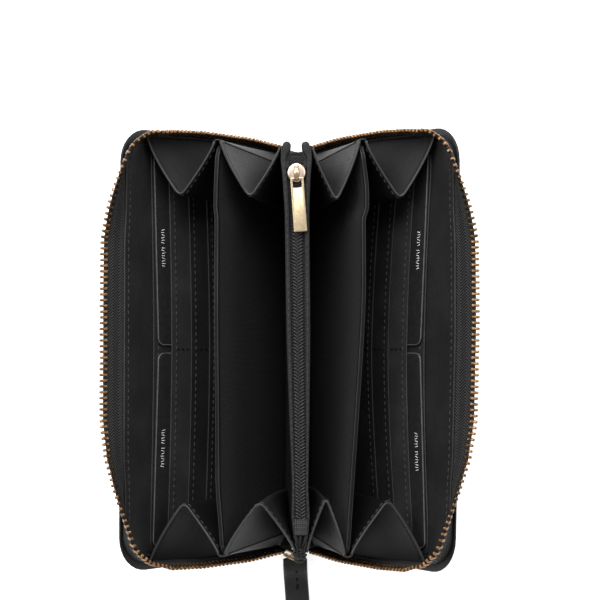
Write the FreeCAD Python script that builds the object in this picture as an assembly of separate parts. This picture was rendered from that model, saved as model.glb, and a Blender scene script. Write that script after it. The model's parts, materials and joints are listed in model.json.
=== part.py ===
import FreeCAD, Part
import math
import os

# A zip-around wallet lying open on its spine.
# Z goes up from the spine to the zip opening, Y runs along the spine, and the
# origin is the centre of the spine's outer face. Lengths are millimetres and
# angles are degrees.

# Covers
COVER_HALF_LENGTH = 97.0
COVER_HEIGHT = 99.0
COVER_CORNER = 15.0
COVER_LEAN = {"left": 41.0, "right": 35.5}
DIVIDER_LEAN = {"left": 21.0, "right": 16.0}

# Spine, and the fold lines that the covers and dividers turn about
FOLD_X = 10.5
FOLD_Z = 3.0
LEATHER = 1.2
BOARD = 0.8
LINING = 0.5
FOLD_GAP = 0.3

# Depths of the layers, measured outward from the plane through the fold line
COVER_OUTER = FOLD_Z
COVER_MIDDLE = COVER_OUTER - LEATHER
COVER_INNER = COVER_MIDDLE - BOARD
COVER_FACE = COVER_INNER - LINING

# Card slots, as heights up the cover from the fold line
SLOT_FOOT = 20.0
SLOT_MOUTHS = {"upper": 73.5, "middle": 62.0, "lower": 51.0}
SLOT_LEATHER = 0.6
SLOT_HALF_LENGTH = 90.0
BACKING_TOP = 83.0
BACKING_FOOT = 18.0
CARD_LENGTH = 85.6
CARD_WIDTH = 54.0
CARD_THICK = 0.8
CARD_TOP = 81.5
CARD_CORNER = 3.2
CARD_GAP = 0.1
CARD_SPACING = 1.8

# Dividers
DIVIDER_HALF_LENGTH = 89.5
DIVIDER_HEIGHT = 80.0
DIVIDER_FOOT = 2.0
DIVIDER_DEPTH = -4.2
DIVIDER_FACING = 0.7
DIVIDER_CORNER = 4.0

# Coin pocket
POCKET_HALF_WIDTH = 4.9
POCKET_HALF_LENGTH = 86.0
POCKET_TOP = 82.0
PANEL_THICK = 1.2
BINDING_HEIGHT = 2.4
COIN_TAPE_Z = 82.8
COIN_TAPE_THICK = 0.6
COIN_TAPE_HALF = 3.3
COIL_GAP = 0.45
COIL_HALF = 1.5
COIL_LOW = 82.5
COIL_HIGH = 84.0
COIL_START = -74.0
COIL_END = 82.0
COIN_STOP_LENGTH = 4.7

# Coin slider, at rest near the end of its run, and its flat pull
COIN_SLIDER_Y = 76.0
COIN_SLIDER_AHEAD = 3.0
COIN_SLIDER_BEHIND = 4.5
COIN_SLIDER_HALF = 2.6
COIN_HEAD_RADIUS = 4.0
COIN_TOP_GAP = 0.7
COIN_UNDER_GAP = 0.4
COIN_WEB_HALF = 0.2
COIN_ARCH_HALF = 0.6
COIN_ARCH_RISE = 2.5
COIN_ARCH_POST = 1.0
COIN_ARCH_REACH = 2.4
COIN_PULL_RISE = 0.85
COIN_PULL_HALF = 2.7
COIN_PULL_THICK = 0.8
COIN_PULL_ARM = 1.5
COIN_PULL_EYE = 4.0
COIN_PULL_LENGTH = 25.4

# Bellows gussets between the panels, folded inward at each end
GUSSET_CREASE = 67.0
GUSSET_THICK = 1.2
GUSSET_FOOT = 9.0
GUSSET_COVER_TOP = 84.0
GUSSET_GAP = 0.4

# Main zip: a tape sewn round the free edges of each cover
TAPE_END_MARGIN = 3.5
TAPE_EDGE_MARGIN = 0.9
TAPE_CORNER_INSET = 2.2
TAPE_THICK = 0.6
TAPE_DEPTH = 0.5
TAPE_REACH = 11.2
TAPE_TOOTH_GAP = 0.1
TAPE_FLARE = -24.0
TAPE_CURL = 65.6
TAPE_FOOT = 6.0
TAPE_STEPS = 34
FLARE_HALF = 47.0
TOOTH_LENGTH = 3.7
TOOTH_WIDTH = 1.2
TOOTH_HEIGHT = 1.8
TOOTH_PITCH = 2.5

# Main slider, its ring and its leather pull strap
SLIDER_X = -1.5
SLIDER_Y = -96.2
SLIDER_Z = 9.5
SLIDER_WIDTH = 9.0
SLIDER_HEIGHT = 10.0
SLIDER_CHANNEL = 3.2
PLATE = 0.9
SLIDER_WEDGE_HALF = 1.2
SLIDER_WEDGE_DEPTH = 3.0
SLIDER_ARCH_HALF = 0.7
SLIDER_ARCH_OPENING = 2.0
SLIDER_ARCH_POST = 0.9
SLIDER_ARCH_REACH = 1.6
RING_Y = -100.6
RING_Z = 8.0
RING_HALF = 4.2
RING_LENGTH = 5.6
RING_BAR = 1.1
RING_SLOPE = 35.0
STRAP_WIDTH = 10.2
STRAP_THICK = 2.2
STRAP_LINE = [(-106.4, 4.6), (-110.5, 2.5), (-116.0, 1.3), (-163.0, 1.2)]

SIDES = ("left", "right")
ENDS = {"upper": 1, "lower": -1}

vector = FreeCAD.Vector


def block(x0, x1, y0, y1, z0, z1):
    """A box between two corners."""
    return Part.makeBox(x1 - x0, y1 - y0, z1 - z0, vector(x0, y0, z0))


def rounded_panel(depth0, depth1, foot, top, half_length, corner, middle=0.0):
    """A flat panel in the panel frame (X depth, Y length, Z height), round at its top corners."""
    left = middle - half_length
    right = middle + half_length
    shoulder = top - corner
    bulge = corner * math.sqrt(0.5)
    points = {
        "foot_left": vector(depth0, left, foot),
        "foot_right": vector(depth0, right, foot),
        "side_right": vector(depth0, right, shoulder),
        "top_right": vector(depth0, right - corner, top),
        "top_left": vector(depth0, left + corner, top),
        "side_left": vector(depth0, left, shoulder),
    }
    bend_right = vector(depth0, right - corner + bulge, shoulder + bulge)
    bend_left = vector(depth0, left + corner - bulge, shoulder + bulge)
    edges = [
        Part.LineSegment(points["foot_left"], points["foot_right"]),
        Part.LineSegment(points["foot_right"], points["side_right"]),
        Part.Arc(points["side_right"], bend_right, points["top_right"]),
        Part.LineSegment(points["top_right"], points["top_left"]),
        Part.Arc(points["top_left"], bend_left, points["side_left"]),
        Part.LineSegment(points["side_left"], points["foot_left"]),
    ]
    outline = Part.Wire([edge.toShape() for edge in edges])
    return Part.Face(outline).extrude(vector(depth1 - depth0, 0, 0))


def panel_point(side, lean, depth, y, height):
    """Where a point of a leaning panel is, for one side of the wallet."""
    sign = 1 if side == "right" else -1
    angle = math.radians(lean)
    x = FOLD_X + height * math.sin(angle) + depth * math.cos(angle)
    z = FOLD_Z + height * math.cos(angle) - depth * math.sin(angle)
    return vector(sign * x, y, z)


def stand_panel(shape, side, lean):
    """Leans a panel outward about its fold line, and mirrors it for the left side."""
    standing = shape.copy()
    standing.rotate(vector(0, 0, 0), vector(0, 1, 0), lean)
    standing.translate(vector(FOLD_X, 0, FOLD_Z))
    if side == "left":
        standing = standing.mirror(vector(0, 0, 0), vector(1, 0, 0))
    return standing


def folded_sheet(rows, thickness):
    """A thin closed solid along rows of points, made of flat facets."""
    last_row = len(rows) - 1
    last_column = len(rows[0]) - 1

    def normal(i, j):
        along = rows[min(i + 1, last_row)][j] - rows[max(i - 1, 0)][j]
        across = rows[i][min(j + 1, last_column)] - rows[i][max(j - 1, 0)]
        return along.cross(across).normalize()

    def offset(distance):
        return [
            [point + normal(i, j) * distance for j, point in enumerate(row)]
            for i, row in enumerate(rows)
        ]

    front = offset(thickness / 2)
    back = offset(-thickness / 2)
    faces = []

    def quad(a, b, c, d):
        for corners in ((a, b, c), (a, c, d)):
            faces.append(Part.Face(Part.makePolygon(list(corners) + [corners[0]])))

    for i in range(last_row):
        for j in range(last_column):
            quad(front[i][j], front[i + 1][j], front[i + 1][j + 1], front[i][j + 1])
            quad(back[i][j], back[i][j + 1], back[i + 1][j + 1], back[i + 1][j])
        quad(front[i][0], back[i][0], back[i + 1][0], front[i + 1][0])
        quad(front[i][-1], front[i + 1][-1], back[i + 1][-1], back[i][-1])
    for j in range(last_column):
        quad(front[0][j], front[0][j + 1], back[0][j + 1], back[0][j])
        quad(front[-1][j], back[-1][j], back[-1][j + 1], front[-1][j + 1])
    shell = Part.Shell(faces)
    shell.sewShape()
    solid = Part.Solid(shell)
    if solid.Volume < 0:
        solid.reverse()
    return solid


# Spine

def spine_leather():
    """The spine strip, turned up at both sides round the fold lines."""
    arcs = []
    for side, sign in (("right", 1), ("left", -1)):
        turn = 90.0 - COVER_LEAN[side] - math.degrees(FOLD_GAP / COVER_OUTER)
        centre = vector(sign * FOLD_X, 0, FOLD_Z)

        def rim(radius, share, sign=sign, centre=centre, turn=turn):
            angle = math.radians(turn * share)
            return centre + vector(sign * radius * math.sin(angle), 0, -radius * math.cos(angle))

        arcs.append(rim)
    right, left = arcs
    inner = COVER_MIDDLE
    outer = COVER_OUTER
    edges = [
        Part.LineSegment(left(outer, 0), right(outer, 0)),
        Part.Arc(right(outer, 0), right(outer, 0.5), right(outer, 1)),
        Part.LineSegment(right(outer, 1), right(inner, 1)),
        Part.Arc(right(inner, 1), right(inner, 0.5), right(inner, 0)),
        Part.LineSegment(right(inner, 0), left(inner, 0)),
        Part.Arc(left(inner, 0), left(inner, 0.5), left(inner, 1)),
        Part.LineSegment(left(inner, 1), left(outer, 1)),
        Part.Arc(left(outer, 1), left(outer, 0.5), left(outer, 0)),
    ]
    face = Part.Face(Part.Wire([edge.toShape() for edge in edges]))
    strip = face.extrude(vector(0, 2 * COVER_HALF_LENGTH, 0))
    strip.translate(vector(0, -COVER_HALF_LENGTH, 0))
    return strip


def spine_parts():
    """Everything that stays with the spine, apart from the coin pocket."""
    half = COVER_HALF_LENGTH
    board_half = FOLD_X - 1.0
    board_top = LEATHER + BOARD
    return {
        "spine_leather": spine_leather(),
        "spine_board": block(-board_half, board_half, 3 - half, half - 3, LEATHER, board_top),
        "spine_lining": block(-FOLD_X + 0.5, FOLD_X - 0.5, 2 - half, half - 2, board_top, board_top + LINING),
    }


# Covers, card slots and cards

def cover_parts(side):
    """The layers of one cover: outer leather, board and lining."""
    lean = COVER_LEAN[side]
    seam_top = COVER_HEIGHT - TAPE_EDGE_MARGIN - 0.4
    seam_half = COVER_HALF_LENGTH - TAPE_END_MARGIN - 0.6
    seam_corner = COVER_CORNER - 3.0
    layers = {
        "cover_leather": rounded_panel(
            COVER_MIDDLE, COVER_OUTER, FOLD_GAP, COVER_HEIGHT, COVER_HALF_LENGTH, COVER_CORNER),
        "cover_board": rounded_panel(
            COVER_INNER, COVER_MIDDLE, 1.0, seam_top, seam_half, seam_corner),
        "cover_lining": rounded_panel(
            COVER_FACE, COVER_INNER, 1.5, seam_top, seam_half, seam_corner),
    }
    return {side + "_" + name: stand_panel(shape, side, lean) for name, shape in layers.items()}


def slot_parts(side):
    """The backing and the three stepped card slots sewn to one cover."""
    lean = COVER_LEAN[side]
    face = COVER_FACE
    backing = rounded_panel(
        face - SLOT_LEATHER, face, BACKING_FOOT, BACKING_TOP, SLOT_HALF_LENGTH, 2.0)
    parts = {side + "_slot_backing": stand_panel(backing, side, lean)}
    face -= SLOT_LEATHER + CARD_THICK + 2 * CARD_GAP
    for level, mouth in SLOT_MOUTHS.items():
        slot = rounded_panel(face - SLOT_LEATHER, face, SLOT_FOOT, mouth, SLOT_HALF_LENGTH, 2.0)
        parts[side + "_slot_" + level] = stand_panel(slot, side, lean)
        face -= SLOT_LEATHER
    return parts


def card_parts(side):
    """Two cards lying end to end behind the slots of one cover."""
    face = COVER_FACE - SLOT_LEATHER - CARD_GAP
    parts = {}
    for end, direction in ENDS.items():
        middle = direction * (CARD_LENGTH / 2 + CARD_SPACING)
        card = rounded_panel(
            face - CARD_THICK, face, CARD_TOP - CARD_WIDTH, CARD_TOP,
            CARD_LENGTH / 2, CARD_CORNER, middle)
        parts[side + "_card_" + end] = stand_panel(card, side, COVER_LEAN[side])
    return parts


# Dividers

def divider_parts(side):
    """One divider: a board, leather over its outer face and top edge, and a lining."""
    core0 = DIVIDER_DEPTH - BOARD / 2
    core1 = DIVIDER_DEPTH + BOARD / 2
    board_top = DIVIDER_HEIGHT - 1.5
    board_half = DIVIDER_HALF_LENGTH - 1.0
    board = rounded_panel(core0, core1, DIVIDER_FOOT, board_top, board_half, DIVIDER_CORNER)
    facing = rounded_panel(
        core1, core1 + DIVIDER_FACING, DIVIDER_FOOT, DIVIDER_HEIGHT,
        DIVIDER_HALF_LENGTH, DIVIDER_CORNER)
    cap_half = DIVIDER_HALF_LENGTH - DIVIDER_CORNER
    cap = block(core0, core1, -cap_half, cap_half, board_top, DIVIDER_HEIGHT)
    lining = rounded_panel(
        core0 - DIVIDER_FACING, core0, DIVIDER_FOOT, DIVIDER_HEIGHT,
        DIVIDER_HALF_LENGTH, DIVIDER_CORNER)
    layers = {
        "divider_board": board,
        "divider_leather": facing.fuse(cap).removeSplitter(),
        "divider_lining": lining,
    }
    lean = DIVIDER_LEAN[side]
    return {side + "_" + name: stand_panel(shape, side, lean) for name, shape in layers.items()}


# Gussets

def gusset(near_low, near_high, far_low, far_high, direction):
    """A strip folded inward between two panels, lofted from its foot to its top edge."""
    def fold(near, far):
        middle = (near + far) * 0.5
        crease = vector(middle.x, direction * GUSSET_CREASE, middle.z)
        inward = vector(0, -direction * GUSSET_THICK, 0)
        loop = [near, crease, far, far + inward, crease + inward, near + inward]
        return Part.makePolygon(loop + [loop[0]])

    return Part.makeLoft([fold(near_low, far_low), fold(near_high, far_high)], True, True)


def gusset_parts(side):
    """The outer gussets, cover to divider, and the inner ones, divider to coin pocket."""
    sign = 1 if side == "right" else -1
    cover_lean = COVER_LEAN[side]
    divider_lean = DIVIDER_LEAN[side]
    slot_face = COVER_FACE - CARD_THICK - 2 * CARD_GAP - (1 + len(SLOT_MOUTHS)) * SLOT_LEATHER
    divider_half_thick = BOARD / 2 + DIVIDER_FACING
    divider_out = DIVIDER_DEPTH + divider_half_thick + GUSSET_GAP
    divider_in = DIVIDER_DEPTH - divider_half_thick - GUSSET_GAP
    divider_top = DIVIDER_HEIGHT - 1.0
    parts = {}
    for end, direction in ENDS.items():
        cover_y = direction * (COVER_HALF_LENGTH - TAPE_END_MARGIN - 1.0)
        divider_y = direction * (DIVIDER_HALF_LENGTH + 0.8)
        pocket_y = direction * (POCKET_HALF_LENGTH + 0.5)
        pocket_x = sign * (POCKET_HALF_WIDTH + GUSSET_GAP)

        def on_cover(height):
            return panel_point(side, cover_lean, slot_face - GUSSET_GAP, cover_y, height)

        def on_divider(depth, height):
            return panel_point(side, divider_lean, depth, divider_y, height)

        parts[side + "_outer_gusset_" + end] = gusset(
            on_divider(divider_out, GUSSET_FOOT), on_divider(divider_out, divider_top),
            on_cover(GUSSET_FOOT), on_cover(GUSSET_COVER_TOP), direction)
        parts[side + "_inner_gusset_" + end] = gusset(
            vector(pocket_x, pocket_y, GUSSET_FOOT), vector(pocket_x, pocket_y, POCKET_TOP - 1.0),
            on_divider(divider_in, GUSSET_FOOT), on_divider(divider_in, divider_top), direction)
    return parts


# Main zip

SEAM_TOP = COVER_HEIGHT - TAPE_EDGE_MARGIN
SEAM_HALF = COVER_HALF_LENGTH - TAPE_END_MARGIN
SEAM_CORNER = COVER_CORNER - TAPE_CORNER_INSET
LONG_RUN = SEAM_HALF - SEAM_CORNER
SHORT_RUN = SEAM_TOP - SEAM_CORNER
CORNER_RUN = SEAM_CORNER * math.pi / 2
RETURN_RUN = LONG_RUN + CORNER_RUN + SHORT_RUN - TAPE_FOOT
TAPE_EDGE = TAPE_REACH - TOOTH_LENGTH - TAPE_TOOTH_GAP


def seam_place(distance):
    """Point and outward direction on the tape's seam, by distance from the middle of the long edge."""
    if distance <= LONG_RUN:
        return (distance, SEAM_TOP), (0.0, 1.0)
    if distance <= LONG_RUN + CORNER_RUN:
        turn = (distance - LONG_RUN) / SEAM_CORNER
        outward = (math.sin(turn), math.cos(turn))
        y = LONG_RUN + SEAM_CORNER * outward[0]
        return (y, SHORT_RUN + SEAM_CORNER * outward[1]), outward
    return (SEAM_HALF, SHORT_RUN - (distance - LONG_RUN - CORNER_RUN)), (1.0, 0.0)


def tape_angle(distance):
    """How far the tape turns in from the plane of the cover: it flares mid-edge and stands at the ends."""
    share = (distance - FLARE_HALF) / (LONG_RUN + CORNER_RUN - FLARE_HALF)
    share = min(max(share, 0.0), 1.0)
    return math.radians(TAPE_FLARE + (TAPE_CURL - TAPE_FLARE) * share)


def tape_point(distance, reach, direction):
    """A point of the tape in the panel frame, by distance along the seam and reach from it."""
    (y, height), (out_y, out_z) = seam_place(distance)
    angle = tape_angle(distance)
    span = reach * math.cos(angle)
    return vector(
        TAPE_DEPTH - reach * math.sin(angle),
        direction * (y + out_y * span),
        height + out_z * span)


def tooth(distance, direction):
    """One tooth, gripping the tape's free edge."""
    middle = tape_point(distance, TAPE_REACH - TOOTH_LENGTH / 2, direction)
    reach = (tape_point(distance, TAPE_REACH, direction) - middle).normalize()
    ahead = tape_point(distance + 0.1, TAPE_REACH, direction)
    behind = tape_point(max(distance - 0.1, 0.0), TAPE_REACH, direction)
    along = (ahead - behind).normalize()
    along = (along - reach * along.dot(reach)).normalize()
    across = reach.cross(along)
    body = Part.makeBox(
        TOOTH_LENGTH, TOOTH_WIDTH, TOOTH_HEIGHT,
        vector(-TOOTH_LENGTH / 2, -TOOTH_WIDTH / 2, -TOOTH_HEIGHT / 2))
    turn = FreeCAD.Matrix(
        reach.x, along.x, across.x, middle.x,
        reach.y, along.y, across.y, middle.y,
        reach.z, along.z, across.z, middle.z,
        0, 0, 0, 1)
    body.Placement = FreeCAD.Placement(turn)
    return body


def tape_between(start, stop, direction, steps):
    """A stretch of tape from the seam to just under the teeth."""
    rows = []
    for step in range(steps + 1):
        distance = start + (stop - start) * step / steps
        rows.append([tape_point(distance, 0.0, direction), tape_point(distance, TAPE_EDGE, direction)])
    return folded_sheet(rows, TAPE_THICK)


def zip_parts(side):
    """The tape and teeth on one cover: a middle stretch that folds, and a return at each end."""
    lean = COVER_LEAN[side]
    flare_teeth = int(FLARE_HALF / TOOTH_PITCH - 0.5)
    all_teeth = int(RETURN_RUN / TOOTH_PITCH)
    middle_tape = block(-TAPE_THICK / 2, TAPE_THICK / 2, -FLARE_HALF, FLARE_HALF, 0, TAPE_EDGE)
    middle_tape.rotate(vector(0, 0, 0), vector(0, 1, 0), -TAPE_FLARE)
    middle_tape.translate(vector(TAPE_DEPTH, 0, SEAM_TOP))
    middle_teeth = []
    return_teeth = []
    for index in range(all_teeth):
        distance = (index + 0.5) * TOOTH_PITCH
        row = middle_teeth if index <= flare_teeth else return_teeth
        for direction in ENDS.values():
            row.append(tooth(distance, direction))
    parts = {
        "zip_tape_middle": middle_tape,
        "zip_teeth_middle": Part.makeCompound(middle_teeth),
        "zip_teeth_returns": Part.makeCompound(return_teeth),
    }
    for end, direction in ENDS.items():
        parts["zip_tape_" + end] = tape_between(FLARE_HALF + 0.2, RETURN_RUN, direction, TAPE_STEPS)
    return {side + "_" + name: stand_panel(shape, side, lean) for name, shape in parts.items()}


# Coin pocket

def coin_pocket_parts():
    """The upright pocket: two panels, a floor, bound top edges, and a coil zip across the top."""
    length = POCKET_HALF_LENGTH
    inner = POCKET_HALF_WIDTH - PANEL_THICK
    floor_z = LEATHER + BOARD + LINING
    binding_in = COIN_TAPE_HALF + 0.1
    binding_out = POCKET_HALF_WIDTH + 0.2
    binding_half = length - 2.0
    parts = {"coin_pocket_floor": block(-inner, inner, -length, length, floor_z, floor_z + 1.0)}
    for side, sign in (("left", -1), ("right", 1)):
        def strip(near, far, y0, y1, z0, z1):
            low, high = sorted((sign * near, sign * far))
            return block(low, high, y0, y1, z0, z1)

        parts["coin_pocket_panel_" + side] = strip(
            inner, POCKET_HALF_WIDTH, -length, length, floor_z, POCKET_TOP)
        parts["coin_pocket_binding_" + side] = strip(
            binding_in, binding_out, -binding_half, binding_half,
            POCKET_TOP, POCKET_TOP + BINDING_HEIGHT)
        parts["coin_zip_tape_" + side] = strip(
            COIL_HALF, COIN_TAPE_HALF, COIL_START - 6, COIL_END,
            COIN_TAPE_Z, COIN_TAPE_Z + COIN_TAPE_THICK)
        parts["coin_zip_coil_" + side] = strip(
            COIL_GAP, COIL_HALF, COIL_START, COIL_END, COIL_LOW, COIL_HIGH)
    parts["coin_zip_stop"] = block(
        -COIL_HALF, COIL_HALF, COIL_START - 0.3 - COIN_STOP_LENGTH, COIL_START - 0.3, COIL_LOW, COIL_HIGH)
    return parts


def coin_slider():
    """Top and under plates joined by a thin web between the coils, with an arch for the pull."""
    y0 = COIN_SLIDER_Y - COIN_SLIDER_BEHIND
    y1 = COIN_SLIDER_Y + COIN_SLIDER_AHEAD
    top_z = COIL_HIGH + COIN_TOP_GAP
    under_z = COIL_LOW - COIN_UNDER_GAP
    half = COIN_SLIDER_HALF
    web = COIN_WEB_HALF
    body = block(-half, half, y0 + COIN_SLIDER_AHEAD, y1, top_z, top_z + PLATE)
    body = body.fuse(Part.makeCylinder(COIN_HEAD_RADIUS, PLATE, vector(0, COIN_SLIDER_Y, top_z)))
    body = body.fuse(block(-half, half, y0, y1, under_z - PLATE, under_z))
    body = body.fuse(block(-web, web, y1 - COIN_SLIDER_AHEAD, y1, under_z - 0.1, top_z + 0.1))
    arch = COIN_ARCH_HALF
    near = COIN_SLIDER_Y - COIN_ARCH_REACH
    far = COIN_SLIDER_Y + COIN_ARCH_REACH
    base = top_z + PLATE - 0.1
    crown = top_z + PLATE + COIN_ARCH_RISE
    for post_y in (near, far - COIN_ARCH_POST):
        body = body.fuse(block(-arch, arch, post_y, post_y + COIN_ARCH_POST, base, crown))
    body = body.fuse(block(-arch, arch, near, far, crown - COIN_PULL_THICK, crown))
    return body.removeSplitter()


def coin_pull():
    """A flat pull whose eye bar turns in the slider's arch."""
    axis_z = COIL_HIGH + COIN_TOP_GAP + PLATE + COIN_PULL_RISE
    half = COIN_PULL_THICK / 2
    wide = COIN_PULL_HALF

    def bar(x0, x1, y0, y1):
        return block(x0, x1, COIN_SLIDER_Y + y0, COIN_SLIDER_Y + y1, axis_z - half, axis_z + half)

    pull = bar(-wide, wide, -half, half)
    for x0 in (-wide, wide - COIN_PULL_ARM):
        pull = pull.fuse(bar(x0, x0 + COIN_PULL_ARM, -COIN_PULL_EYE, 0))
    pull = pull.fuse(bar(-wide, wide, -COIN_PULL_LENGTH, -COIN_PULL_EYE))
    return pull.removeSplitter()


# Main slider and pull

def main_slider():
    """Two plates round the chain, a wedge between them, and an arch on the outer plate."""
    low = SLIDER_Z - SLIDER_HEIGHT / 2
    high = SLIDER_Z + SLIDER_HEIGHT / 2
    x0 = SLIDER_X - SLIDER_WIDTH / 2
    x1 = SLIDER_X + SLIDER_WIDTH / 2
    outer = SLIDER_Y - SLIDER_CHANNEL / 2
    inner = SLIDER_Y + SLIDER_CHANNEL / 2
    body = block(x0, x1, outer - PLATE, outer, low, high)
    body = body.fuse(block(x0, x1, inner, inner + PLATE, low, high))
    body = body.fuse(block(
        SLIDER_X - SLIDER_WEDGE_HALF, SLIDER_X + SLIDER_WEDGE_HALF,
        outer - 0.1, inner + 0.1, high - SLIDER_WEDGE_DEPTH, high))
    post = SLIDER_ARCH_POST
    arch_low = RING_Z - SLIDER_ARCH_OPENING
    arch_high = RING_Z + SLIDER_ARCH_OPENING
    crown = RING_Y - SLIDER_ARCH_REACH

    def arch_bar(y0, y1, z0, z1):
        return block(SLIDER_X - SLIDER_ARCH_HALF, SLIDER_X + SLIDER_ARCH_HALF, y0, y1, z0, z1)

    for post_z in (arch_low - post, arch_high):
        body = body.fuse(arch_bar(crown, outer - PLATE + 0.1, post_z, post_z + post))
    body = body.fuse(arch_bar(crown - post, crown + 0.1, arch_low - post, arch_high + post))
    return body.removeSplitter()


def pull_ring():
    """A wire loop: its near bar turns in the slider's arch and its far bar carries the strap."""
    def bar(x0, x1, y0, y1):
        return block(x0, x1, y0, y1, -RING_BAR / 2, RING_BAR / 2)

    ring = bar(-RING_HALF, RING_HALF, -RING_BAR / 2, RING_BAR / 2)
    for x0 in (-RING_HALF, RING_HALF - RING_BAR):
        ring = ring.fuse(bar(x0, x0 + RING_BAR, -RING_LENGTH, 0))
    ring = ring.fuse(bar(-RING_HALF, RING_HALF, -RING_LENGTH, RING_BAR - RING_LENGTH))
    ring = ring.removeSplitter()
    ring.rotate(vector(0, 0, 0), vector(1, 0, 0), RING_SLOPE)
    ring.translate(vector(SLIDER_X, RING_Y, RING_Z))
    return ring


def pull_strap():
    """A leather strap that starts at the ring, comes down and lies on the ground."""
    rows = [
        [vector(SLIDER_X + side * STRAP_WIDTH / 2, y, z) for side in (1, -1)]
        for y, z in STRAP_LINE
    ]
    return folded_sheet(rows, STRAP_THICK)


def all_parts():
    """Every node of the wallet by name."""
    parts = {}
    parts.update(spine_parts())
    parts.update(coin_pocket_parts())
    parts["coin_zip_slider"] = coin_slider()
    parts["coin_zip_pull"] = coin_pull()
    parts["main_zip_slider"] = main_slider()
    parts["main_pull_ring"] = pull_ring()
    parts["main_pull_strap"] = pull_strap()
    for side in SIDES:
        for group in (cover_parts, slot_parts, card_parts, divider_parts, gusset_parts, zip_parts):
            parts.update(group(side))
    return parts


os.makedirs("parts", exist_ok=True)
for name, shape in all_parts().items():
    shape.exportStep(os.path.join("parts", name + ".step"))
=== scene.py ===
import json
import math
import random

import bmesh
import bpy
import numpy as np
from mathutils import Matrix, Vector


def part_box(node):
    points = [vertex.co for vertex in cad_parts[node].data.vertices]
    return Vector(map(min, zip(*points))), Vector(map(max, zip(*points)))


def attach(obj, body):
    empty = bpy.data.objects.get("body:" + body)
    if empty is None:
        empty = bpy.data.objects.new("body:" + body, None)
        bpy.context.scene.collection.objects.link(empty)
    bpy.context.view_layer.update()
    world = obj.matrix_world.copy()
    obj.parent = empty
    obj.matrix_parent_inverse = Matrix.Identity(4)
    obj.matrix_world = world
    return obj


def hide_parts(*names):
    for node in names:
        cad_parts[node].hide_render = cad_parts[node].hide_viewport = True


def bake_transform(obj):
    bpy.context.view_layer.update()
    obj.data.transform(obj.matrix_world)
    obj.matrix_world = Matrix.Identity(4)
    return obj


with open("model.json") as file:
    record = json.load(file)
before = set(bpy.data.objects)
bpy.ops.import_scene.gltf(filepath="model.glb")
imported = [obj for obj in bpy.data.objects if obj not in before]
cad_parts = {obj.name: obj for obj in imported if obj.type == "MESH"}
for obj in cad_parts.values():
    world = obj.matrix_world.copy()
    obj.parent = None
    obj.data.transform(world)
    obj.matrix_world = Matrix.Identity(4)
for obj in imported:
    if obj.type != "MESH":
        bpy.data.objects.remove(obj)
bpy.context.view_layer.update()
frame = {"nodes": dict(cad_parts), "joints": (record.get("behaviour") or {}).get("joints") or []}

# The visual model of an open zip-around wallet. Lengths are millimetres until a mesh is made.
MM = 0.001
SIDES = {"left": -1, "right": 1}
ENDS = {"upper": 1, "lower": -1}
joints = {joint["name"]: joint for joint in frame["joints"]}

# Covers, cards and main zip, the same as CAD's
COVER_CORNER = 15.0
CARD_CORNER = 3.2
TAPE_END_MARGIN = 3.5
TAPE_EDGE_MARGIN = 0.9
TAPE_CORNER_INSET = 2.2
TAPE_REACH = 11.2
TAPE_CURL = 65.6
TAPE_THICK = 0.6
TOOTH_PITCH = 2.5

# Main zip, finer than CAD's: how deep the tape lies, its hidden strip and its foot, and one tooth
TAPE_TUCK = 0.85
TAPE_HIDDEN = 1.2
TAPE_FOOT = 1.5
TOOTH_LENGTH = 3.6
TOOTH_WIDTH = 1.3
TOOTH_HEIGHT = 1.9
TOOTH_GRIP = 1.3

# Degrees by which the tape curls in more than CAD's, at distances from the long edge's middle
CURL_STATIONS = (30.0, 42.0, 52.0, 70.0, 79.0, 91.0, 99.0, 108.0, 128.0)
CURL_EXTRA = {
    "upper": (0.0, 2.0, 5.0, 9.0, 12.0, 20.0, 15.0, 8.0, 0.0),
    "lower": (0.0, 18.0, 27.0, 29.0, 31.0, 34.0, 22.0, 7.0, 0.0)}

# How far the card slots hang down and gape at the middle of their length, and the cards' tilt
SLOT_SAG = {"left": 2.2, "right": 6.2}
SLOT_GAPE = {"left": 0.15, "right": 0.35}
CARD_TILT = {"left": 2.0, "right": 3.6}

# Each level of a cover's slots, from the back: its node, its share of the hang, and its leather, a lighter
# copy of the inner leather with painted light, lightest at the front slot
SLOT_LEVELS = (
    ("slot_backing", 0.7, "slot"), ("slot_upper", 0.85, "lit_front_slot"),
    ("slot_middle", 1.0, "slot"), ("slot_lower", 1.05, "slot"))

# How far each divider peels away from its plane near the slider's end
DIVIDER_PEEL = {"left": 0.6, "right": 1.7}

# Thickness of the covers' boards, the gussets, the thin leather strips and the pull's strap
BOARD_THICK = 0.7
GUSSET_THICK = 0.9
STRIP_THICK = 0.7
STRAP_THICK = 2.0

# Radii of turned edges, hems, cords and wires
INNER_EDGE = 0.36
SLOT_EDGE = 0.34
CARD_RIM = 0.22
BINDING_EDGE = 0.25
GUSSET_HEM = 0.52
GUSSET_TURN = 0.24
ZIP_CORD = 0.6
COIL_WIRE = 0.28
RING_WIRE = 0.6

# Gussets: where they crease, how high they reach on a cover, how far past a divider's end, their foot
GUSSET_CREASE = {"left": 67.0, "right": 65.5}
GUSSET_TOP = {"left": {"upper": 87.5, "lower": 85.0}, "right": {"upper": 87.5, "lower": 83.5}}
GUSSET_REACH = {"upper": 1.2, "lower": -0.4}
GUSSET_FOOT = 3.2
GUSSET_ROWS = 21
GUSSET_COLUMNS = 41

# Coin pocket: half its width at stations along its top, from the gathered end, and its zip's coil
POCKET_STATIONS = (-90.0, -80.0, -72.0, -60.0, -32.0, 6.0, 60.0, 74.0, 82.0, 90.0)
POCKET_HALVES = (1.5, 3.2, 4.0, 3.4, 4.3, 5.2, 5.4, 6.1, 6.8, 6.6)
POCKET_GATHER = 3.0
COIL_REACH = 2.1
COIL_PITCH = 1.45

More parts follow.
